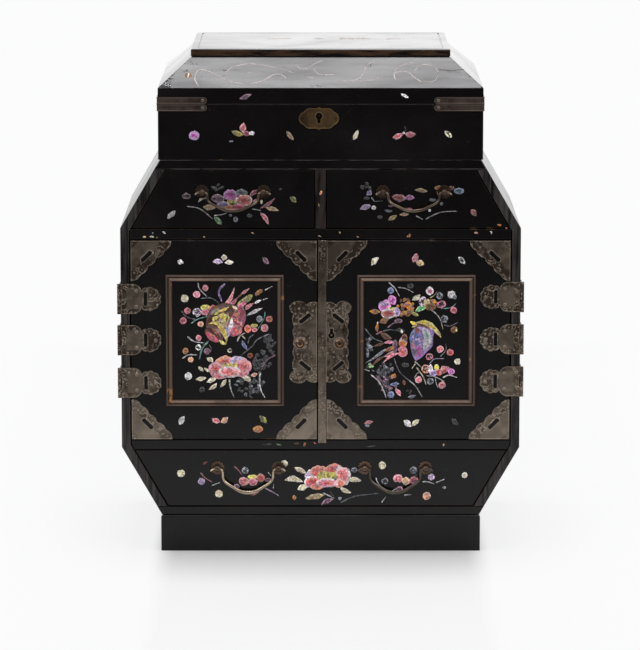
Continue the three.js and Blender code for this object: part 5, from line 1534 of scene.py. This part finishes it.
UPPER_LEFT_DRAWER = (
    ("shards", "ghost", 3, (-77, 277), (4, 2.4), 7),
    ("shards", "ghost", 2, (-30.2, 275.3), (1.6, 1.4), 3),
    ("disc hollow", "mauve", (5.8, 4.2), (-100.3, 271)),
    ("leaf lined", "white", 4.4, (-114.7, 254.1), (-108.3, 260)),
    ("twig", "white", 1.2, (-100.3, 263.4), (-90, 261.3), (-80.3, 253.4)),
    ("twig", "white", 1.1, (-79.9, 256.2), (-74.2, 257), (-69.9, 258.4)),
    ("leaf", "cream", 2.2, (-91.4, 266.3), (-88.5, 269.5), (-84, 269.7)),
    ("leaf lined", "tan", 4.8, (-88, 262.9), (-78, 262.5)),
    ("disc", "mauve", (9, 6), (-76.7, 269.2)),
    ("disc", "violet", (8.4, 5.6), (-72.8, 264.1)),
    ("disc", "magenta", (9.2, 8), (-67.4, 271.8)),
    ("disc", "grey", (8, 5.4), (-58.9, 273.4)),
    ("disc", "white", (11.4, 8), (-57.3, 267.7)),
    ("disc", "red", (9.8, 6.6), (-57.3, 267.7)),
    ("disc", "amber", (5.6, 3.6), (-68.5, 262.5)),
    ("disc", "red", (9.6, 5), (-62.1, 262.5)),
    ("stamens", "gold", 4, (-69.6, 266.6), (-63.4, 266.6)),
    ("leaf", "rose", 3.6, (-53.3, 270.8), (-46.1, 275.5)),
    ("disc", "pink", (3.2, 2.6), (-48.5, 267)),
    ("disc", "cream", (1.6, 3.2), (-44.2, 266.7)),
    ("leaf", "rose", 2.6, (-45.1, 261.8), (-39.2, 264.9), (-34, 269.7)),
    ("leaf lined", "tan", 3.4, (-41.2, 262.4), (-31.1, 260)),
    ("leaf", "pink", 3.8, (-45.1, 258.6), (-39, 249.6)),
    ("leaf", "green", 3.8, (-79.6, 255.4), (-74, 249.6)),
    ("leaf", "grey", 2, (-68.6, 257.2), (-66.2, 256)),
    ("disc", "grey", (3, 3.8), (-63.5, 253.4)),
    ("disc", "ghost", (3.6, 2.4), (-53.1, 256.2)),
    ("twig", "white", 1.4, (-51.3, 261.3), (-44.5, 260.2)),
    ("leaf", "olive", 3.8, (-22.9, 270.4), (-18.2, 266.1)),
)
UPPER_RIGHT_DRAWER = (
    ("shards", "ghost", 3, (34, 277.8), (3.6, 3), 8),
    ("leaf", "violet", 3.8, (34.4, 271.8), (37.8, 275.2)),
    ("twig", "white", 1.2, (37.9, 270.2), (40.4, 266.7)),
    ("twig", "grey", 1, (40.8, 267), (46.5, 267.4)),
    ("leaf lined", "lilac", 4.2, (29.5, 261.1), (37.7, 263.6)),
    ("disc", "white", (3.2, 2.6), (39.7, 262.3)),
    ("disc", "ghost", (4, 2), (34.3, 269.4)),
    ("leaf", "rose", 5.6, (53, 270.7), (64.4, 269.1)),
    ("leaf", "magenta", 3.8, (62.8, 269.1), (70.1, 269.6)),
    ("leaf lined", "tan", 3.4, (70.2, 275.7), (79.9, 274.5)),
    ("leaf", "rose", 1.8, (62.2, 261.4), (68.6, 261.8)),
    ("leaf", "mauve", 1.8, (50.4, 263.8), (54.6, 263.8)),
    ("leaf", "grey", 2, (47.7, 260.6), (53.8, 259.8)),
    ("leaf", "peach", 2.8, (58.8, 257), (66, 257.4)),
    ("leaf", "gold", 3, (50.6, 252.9), (57, 256.4)),
    ("disc", "ghost", (3.4, 2.4), (44.3, 255.2)),
    ("twig", "white", 1.2, (71.1, 256.2), (76.5, 253.4)),
    ("bud", "white", 1, (81.5, 260.2)),
    ("twig", "white", 1.3, (78.3, 253.4), (84, 256.6), (89.7, 258.8), (96.2, 259.5), (102.6, 259.5)),
    ("disc", "amber", (5, 3), (87.9, 277.1)),
    ("leaf", "amber", 1.8, (86.8, 274.5), (88.8, 270.3)),
    ("disc", "amber", (4, 2.6), (97.6, 277.1)),
    ("disc", "blue", (7, 4.4), (103.3, 274.9)),
    ("leaf lined", "rose", 4.4, (112.4, 261), (116.4, 256)),
    ("disc", "grey", (5, 2), (83.7, 268.1)),
    ("bud", "grey", 1.2, (90.4, 265.2)),
)
BOX_FRONT = (
    ("disc", "violet", (7, 6), (-94.2, 316.6)),
    ("disc", "magenta", (5.4, 4.4), (-94.2, 316.6)),
    ("leaf lined", "pink", 4.6, (-57.6, 318.7), (-57.2, 326.1)),
    ("leaf lined", "olive", 4.4, (-66.3, 320), (-57.6, 317.2)),
    ("disc", "rose", (5.2, 3.2), (-54.8, 318.1)),
    ("disc", "white", (3.6, 2.8), (-51.2, 318.4)),
    ("disc", "grey", (2.6, 1), (-66.6, 312.3)),
    ("leaf lined", "tan", 3.4, (-25.4, 320.1), (-20, 313.2)),
    ("leaf", "cream", 3.2, (24.3, 313.2), (27.9, 320.8)),
    ("leaf lined", "pink", 4.4, (53.5, 315), (61.4, 318.3)),
    ("bud", "white", 0.9, (61.9, 318.6)),
    ("leaf lined", "pink", 4.6, (62.8, 318.1), (71, 317.7)),
    ("twig", "ghost", 1.2, (62.6, 323.5), (63.4, 320.8), (62, 319)),
    ("leaf hollow", "cream", 3.8, (92.4, 320.1), (97.7, 315.3)),
)
LID_RIM = (
    ("leaf lined", "mauve", 3.6, (-60.3, 344), (-51.4, 347.5)),
    ("leaf", "white", 2.2, (59.7, 347.9), (65.4, 344.8)),
)
# The lid's front slope, measured along it from its lower edge
LID_SLOPE = (
    ("twig", "tan", 1.4, (-89.7, 0.6), (-93.7, 8.7), (-92.1, 17.4), (-87.3, 19), (-78.3, 14.2), (-67, 6.5),
     (-54.9, 4.5)),
    ("twig", "tan", 1.3, (-54.9, 4.5), (-44.3, 6.5), (-35.4, 13.6), (-28.9, 13.6), (-24.9, 8.7)),
    ("twig", "tan", 1.2, (-73.1, 11.9), (-67, 20.7), (-56.5, 24.5), (-45.9, 24.2), (-30.6, 19.7),
     (-17.6, 14.8)),
    ("twig", "tan", 1.1, (-19.2, 24.2), (-12.7, 19), (-5.4, 24.2), (2.7, 29.7)),
    ("twig", "tan", 0.8, (-55.7, 15.2), (-48.4, 17.1), (-44.3, 15.2)),
    ("twig", "tan", 0.8, (-10.3, 11.9), (-4.6, 10)),
    ("twig", "tan", 0.8, (-5.4, 19.7), (-1.4, 14.2), (2.7, 13.6)),
    ("twig", "tan", 1.2, (12.5, 7.1), (26.3, 8.1), (32, 14.8), (34.4, 23.6), (38.4, 26.1), (42.5, 25.2)),
    ("twig", "tan", 0.9, (27.9, 7.1), (38.4, 8.1), (47.3, 11.9)),
    ("twig", "tan", 1.2, (56.3, 7.1), (54.6, 14.8), (59.5, 17.1), (66, 15.8), (70, 10.3), (75.7, 7.1)),
    ("twig", "tan", 1.0, (53.8, 15.8), (59.5, 22.3), (66.8, 25.8), (74.1, 25.2)),
    ("twig", "tan", 1.0, (68.8, 14.8), (74.6, 23.4), (84.4, 22.6), (88, 14.8)),
    ("twig", "tan", 1.0, (88, 14.8), (84.6, 7.4), (75, 6.6), (69.6, 11.6)),
    ("twig", "tan", 1.2, (2.8, 13.6), (10.9, 14)),
)
# Measured from the front of the doors backwards over the lid's top
TOP_DRAWING = (
    ("leaf", "tan", 9, (-44, 106), (-22, 108)),
    ("leaf", "tan", 8, (-5, 109), (3, 109)),
    ("leaf", "tan", 12, (15, 103), (27, 111)),
    ("leaf", "tan", 11, (27, 109), (38, 104)),
    ("twig", "tan", 7, (50, 104), (64, 107)),
)
SLOPE_CHIPS = (
    ("drop plain", "amber", 5, (-99, 9.8), (-98.4, 15.6)),
    ("shards", "ghost", 2, (-114, 4.4), (2.2, 2.2), 10),
    ("shards", "white", 0.8, (-114, 3.8), (2.8, 2.4), 8),
    ("shards", "ghost", 1.6, (-102, 18), (2.4, 1.4), 8),
    ("shards", "ghost", 1.2, (-95, 24.6), (3, 0.7), 5),
    ("twig", "ghost", 1.2, (88, 19), (98, 18.4), (107, 19.4)),
    ("twig", "ghost", 0.8, (94, 16.6), (100, 17), (104, 16.4)),
    ("shards", "ghost", 1.2, (36, 24), (4, 1.6), 6),
    ("shards", "ghost", 1, (-6, 2), (10, 0.8), 8),
)
# Chips in the lacquer of the shelves, the divider and the side walls
SHELF_CHIPS = (
    ("leaf", "tan", 1.6, (-133, 240.3), (-130.6, 240.2)),
    ("leaf", "cream", 1.5, (-128, 240.3), (-124.6, 240)),
    ("leaf", "tan", 0.8, (-123, 239.9), (-121.6, 239.8)),
    ("leaf", "white", 1.3, (-118.2, 244.4), (-116, 242.6)),
    ("leaf", "grey", 1, (-126, 243.8), (-125, 242.4)),
    ("leaf", "peach", 1.4, (114.6, 243.4), (118, 243)),
    ("leaf", "white", 0.9, (126.6, 244.4), (128, 243.6), (127.6, 242.2)),
    ("drop plain", "amber", 1.6, (66.4, 239.6), (66.8, 242.6)),
    ("drop plain", "amber", 1.2, (64.4, 240.2), (65.8, 240.8)),
    ("leaf", "tan", 0.8, (14, 244.2), (14.6, 242.6)),
    ("leaf", "tan", 0.7, (-52, 243.4), (-49.6, 242.8)),
    ("leaf", "tan", 0.7, (-88, 240.4), (-86.4, 240)),
    ("leaf", "peach", 0.7, (27, 240.4), (28.6, 240)),
    ("leaf", "tan", 0.7, (-2, 241), (0.4, 240.4)),
    ("drop plain", "peach", 1.6, (-0.6, 271.6), (0.8, 275)),
    ("leaf", "tan", 0.7, (-1.6, 265.4), (-1, 263)),
    ("drop plain", "amber", 1.6, (132, 249.4), (135.2, 249)),
    ("drop plain", "amber", 1.2, (138, 247.2), (139.6, 246.6)),
    ("leaf", "ghost", 1.3, (-44, 82), (-37, 82.4)),
    ("leaf", "green", 0.9, (-34, 82.4), (-29.6, 81.4)),
    ("drop plain", "brown", 1.4, (-20.4, 82.6), (-16.4, 82.8)),
    ("drop plain", "amber", 1.7, (-12.8, 80.4), (-11.4, 83.4)),
    ("leaf", "red", 0.8, (-5.2, 83.8), (-3.4, 82.4)),
    ("leaf", "ghost", 0.9, (34, 80.2), (42, 81)),
    ("drop plain", "peach", 1.3, (92.6, 80.4), (93.2, 82.6)),
)


class MakeInlay(bpy.types.Operator):
    """Lays the shell birds, blossoms and twigs on the doors, the drawers, the box and the lid"""

    bl_idname = "cabinet.inlay"
    bl_label = "Nacre inlay"

    def execute(self, context):
        front = FRONT / mm
        box_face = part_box("box_walls")[0].y / mm
        lid_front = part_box("lid_shell")[0].y / mm
        rim_top = 352
        slope_back = 24.5
        slope_up = 21
        slope = (0, slope_back, slope_up)
        panels = {word: self.panel_middle(word) for word, _ in SIDES}
        for field, layout in (
            (Field("left_panel_nacre", "left_door", panels["left"], seed=3), LEFT_PANEL),
            (Field("right_panel_nacre", "right_door", panels["right"], seed=4), RIGHT_PANEL),
            (Field("left_door_nacre", "left_door", (0, front, 0), seed=5), LEFT_DOOR),
            (Field("right_door_nacre", "right_door", (0, front, 0), seed=6), RIGHT_DOOR),
            (Field("bottom_drawer_nacre", "bottom_drawer", (0, front, 0), seed=7), BOTTOM_DRAWER),
            # The upper drawers and the box front are darkened as painted shade, since less light reaches them
            (Field("upper_left_drawer_nacre", "upper_left_drawer", (0, front, 0), seed=8, painted_shade_level=0.72),
             UPPER_LEFT_DRAWER),
            (Field("upper_right_drawer_nacre", "upper_right_drawer", (0, front, 0), seed=9, painted_shade_level=0.74),
             UPPER_RIGHT_DRAWER),
            (Field("box_front_nacre", "cabinet", (0, box_face, 0), seed=10, painted_shade_level=0.86), BOX_FRONT),
            (Field("lid_rim_nacre", "lid", (0, lid_front, 0), seed=11), LID_RIM),
            (Field("lid_slope_chips", "lid", (0, lid_front, rim_top), slope, seed=14), SLOPE_CHIPS),
            (Field("shelf_chips", "cabinet", (0, front, 0), seed=13), SHELF_CHIPS),
        ):
            field.lay(layout)
            field.finish()
        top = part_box("lid_top_panel")[1].z / mm
        for field, layout in (
            (Field("lid_slope_drawing", "lid", (0, lid_front, rim_top), slope, seed=12), LID_SLOPE),
            (Field("lid_top_drawing", "lid", (0, front, top), (0, 1, 0), seed=15), TOP_DRAWING),
        ):
            field.lay(layout)
            field.finish("faded_drawing")
        return {"FINISHED"}

    def panel_middle(self, word):
        low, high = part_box(f"{word}_door_moulding")
        return ((low.x + high.x) / 2 / mm, FRONT / mm, (low.z + high.z) / 2 / mm)


def seen_rays(tree):
    """1 for the rays that show the backdrop: from the camera, off a mirror or through glass."""
    path = place(tree, "ShaderNodeLightPath")
    seen = larger(tree, path.outputs["Is Camera Ray"], path.outputs["Is Glossy Ray"])
    return larger(tree, seen, path.outputs["Is Transmission Ray"])


class MakeStage(bpy.types.Operator):
    """Sets the floor, the cards, the lights, the world and the camera"""

    bl_idname = "cabinet.stage"
    bl_label = "Stage"

    def execute(self, context):
        look = context.scene.cabinet_stage
        self.floor(look)
        self.card()
        self.world(context.scene)
        self.lights(look)
        self.camera(context.scene, look)
        return {"FINISHED"}

    def floor(self, look):
        sheet = bmesh.new()
        bmesh.ops.create_grid(sheet, x_segments=1, y_segments=1, size=12)
        material, tree, shader, where = new_finish("Pale floor")
        shader.inputs["Base Color"].default_value = opaque(look.floor)
        shader.inputs["Roughness"].default_value = 0.75
        shader.inputs["Specular IOR Level"].default_value = 0.2
        spot = axes(tree, where.outputs["Object"])
        aside = work_out(tree, "ABSOLUTE", spot["X"])
        under_plinth = 108 * mm
        deep_shade = 130 * mm
        faint_shade = 320 * mm
        beside = between(tree, aside, under_plinth, deep_shade, 0.0, 0.86)
        beside = work_out(tree, "ADD", beside, between(tree, aside, deep_shade, faint_shade, 0.0, 0.14))
        fades_from = 0.16
        fades_to = 0.9
        before = between(tree, work_out(tree, "ABSOLUTE", spot["Y"]), fades_from, fades_to)
        away = larger(tree, beside, before)
        seen = seen_rays(tree)
        glow = place(tree, "ShaderNodeEmission", {"Color": (0.972, 0.972, 0.976, 1.0), "Strength": 1.0})
        mixed = place(tree, "ShaderNodeMixShader", {0: times(tree, away, seen),
                                                    1: shader.outputs[0], 2: glow.outputs[0]})
        feed(tree, tree.nodes["Material Output"].inputs["Surface"], mixed.outputs[0])
        floor = put_in_scene("floor", sheet, [material])

    def card(self):
        """A graded card in front, seen only in reflections: pale by the cabinet, dark behind the camera."""
        half_length = 2.4
        flat_length = 3.0
        nearest = 0.55
        belly = 0.15
        over_floor = 0.004
        sheet = bmesh.new()
        bmesh.ops.create_grid(sheet, x_segments=1, y_segments=40, size=1,
                              matrix=Matrix.Diagonal((6, half_length, 1, 1)))
        for vert in sheet.verts:
            run = half_length - vert.co.y
            bend = max(0.0, run - flat_length)
            curve = belly * math.sin(min(bend, 0.5) * math.pi)
            vert.co.y = -nearest - min(run, flat_length) - curve
            vert.co.z = over_floor + bend
        material = bpy.data.materials.new("Graded card")
        material.use_nodes = True
        tree = material.node_tree
        tree.nodes.clear()
        spot = axes(tree, place(tree, "ShaderNodeTexCoord").outputs["Object"])
        pale_until = -0.6
        dark_from = -2.0
        level = between(tree, spot["Y"], pale_until, dark_from, 0.47, 0.08)
        light = place(tree, "ShaderNodeEmission", {"Color": (1.0, 0.97, 0.96, 1.0), "Strength": level})
        place(tree, "ShaderNodeOutputMaterial", {"Surface": light.outputs[0]})
        card = put_in_scene("front_card", sheet, [material])
        card.visible_camera = False
        card.visible_diffuse = False
        card.visible_shadow = False

    def world(self, scene):
        world = bpy.data.worlds.new("Studio")
        scene.world = world
        world.use_nodes = True
        tree = world.node_tree
        tree.nodes.clear()
        seen = seen_rays(tree)
        strength = work_out(tree, "MULTIPLY_ADD", seen, 0.7, 0.3)
        sky = place(tree, "ShaderNodeBackground", {"Color": (1.0, 1.0, 1.0, 1.0), "Strength": strength})
        place(tree, "ShaderNodeOutputWorld", {"Surface": sky.outputs[0]})

    def lights(self, look):
        self.softbox("top_softbox", (0, 0.05, 1.75), (0, 0.02, 0.3), 0.7, 0.6, look.top_light)
        self.softbox("left_softbox", (-1.5, -1.5, 1.3), (0, 0, 0.18), 1.2, 1.0, look.front_light)
        self.softbox("right_softbox", (1.5, -1.5, 1.3), (0, 0, 0.18), 1.2, 1.0, look.front_light)
        self.softbox("back_panel_light", (0, 6.5, 1.1), (0, 0, 0.3), 6.0, 1.8, look.back_light)

    def softbox(self, name, position, aim, width, height, power):
        data = bpy.data.lights.new(name, "AREA")
        data.shape = "RECTANGLE"
        data.size = width
        data.size_y = height
        data.energy = power
        lamp = bpy.data.objects.new(name, data)
        bpy.context.scene.collection.objects.link(lamp)
        lamp.location = position
        lamp.rotation_euler = (Vector(aim) - Vector(position)).to_track_quat("-Z", "Y").to_euler()
        lamp.visible_camera = False

    def camera(self, scene, look):
        data = bpy.data.cameras.new("camera")
        data.lens = look.lens
        data.sensor_width = 36
        data.sensor_fit = "AUTO"
        data.shift_x = -0.0009
        data.clip_end = 60
        camera = bpy.data.objects.new("camera", data)
        scene.collection.objects.link(camera)
        camera.location = (0, FRONT - look.distance, look.height)
        camera.rotation_euler = (math.pi / 2 - look.pitch, 0, 0)
        scene.camera = camera
        scene.view_settings.view_transform = "Standard"


class CabinetPanel(bpy.types.Panel):
    """Shows the cabinet's settings and the buttons that make its pieces"""

    bl_idname = "CABINET_PT_pieces"
    bl_label = "Lacquer Cabinet"
    bl_space_type = "VIEW_3D"
    bl_region_type = "UI"
    bl_category = "Cabinet"

    def draw(self, context):
        for settings in SETTINGS:
            box = self.layout.box()
            held = getattr(context.scene, settings)
            for name in held.bl_rna.properties.keys():
                if name not in ("rna_type", "name"):
                    box.prop(held, name)
        for operator in OPERATORS:
            self.layout.operator(operator.bl_idname)


SETTINGS = {
    "cabinet_lacquer": LacquerSettings,
    "cabinet_moulding": MouldingSettings,
    "cabinet_mounts": MountSettings,
    "cabinet_inlay": InlaySettings,
    "cabinet_stage": StageSettings,
}
OPERATORS = (MakeStage, DressCabinet, MakeMouldings, MakeMounts, MakeBails, MakeInlay)


def register():
    for settings in SETTINGS.values():
        bpy.utils.register_class(settings)
    for name, settings in SETTINGS.items():
        setattr(bpy.types.Scene, name, bpy.props.PointerProperty(type=settings))
    for operator in OPERATORS:
        bpy.utils.register_class(operator)
    bpy.utils.register_class(CabinetPanel)


def unregister():
    bpy.utils.unregister_class(CabinetPanel)
    for operator in reversed(OPERATORS):
        bpy.utils.unregister_class(operator)
    for name in SETTINGS:
        delattr(bpy.types.Scene, name)
    for settings in reversed(SETTINGS.values()):
        bpy.utils.unregister_class(settings)


def main():
    register()
    bpy.ops.cabinet.stage()
    bpy.ops.cabinet.dress()
    bpy.ops.cabinet.mouldings()
    bpy.ops.cabinet.mounts()
    bpy.ops.cabinet.bails()
    bpy.ops.cabinet.inlay()


if __name__ == "__main__":
    main()
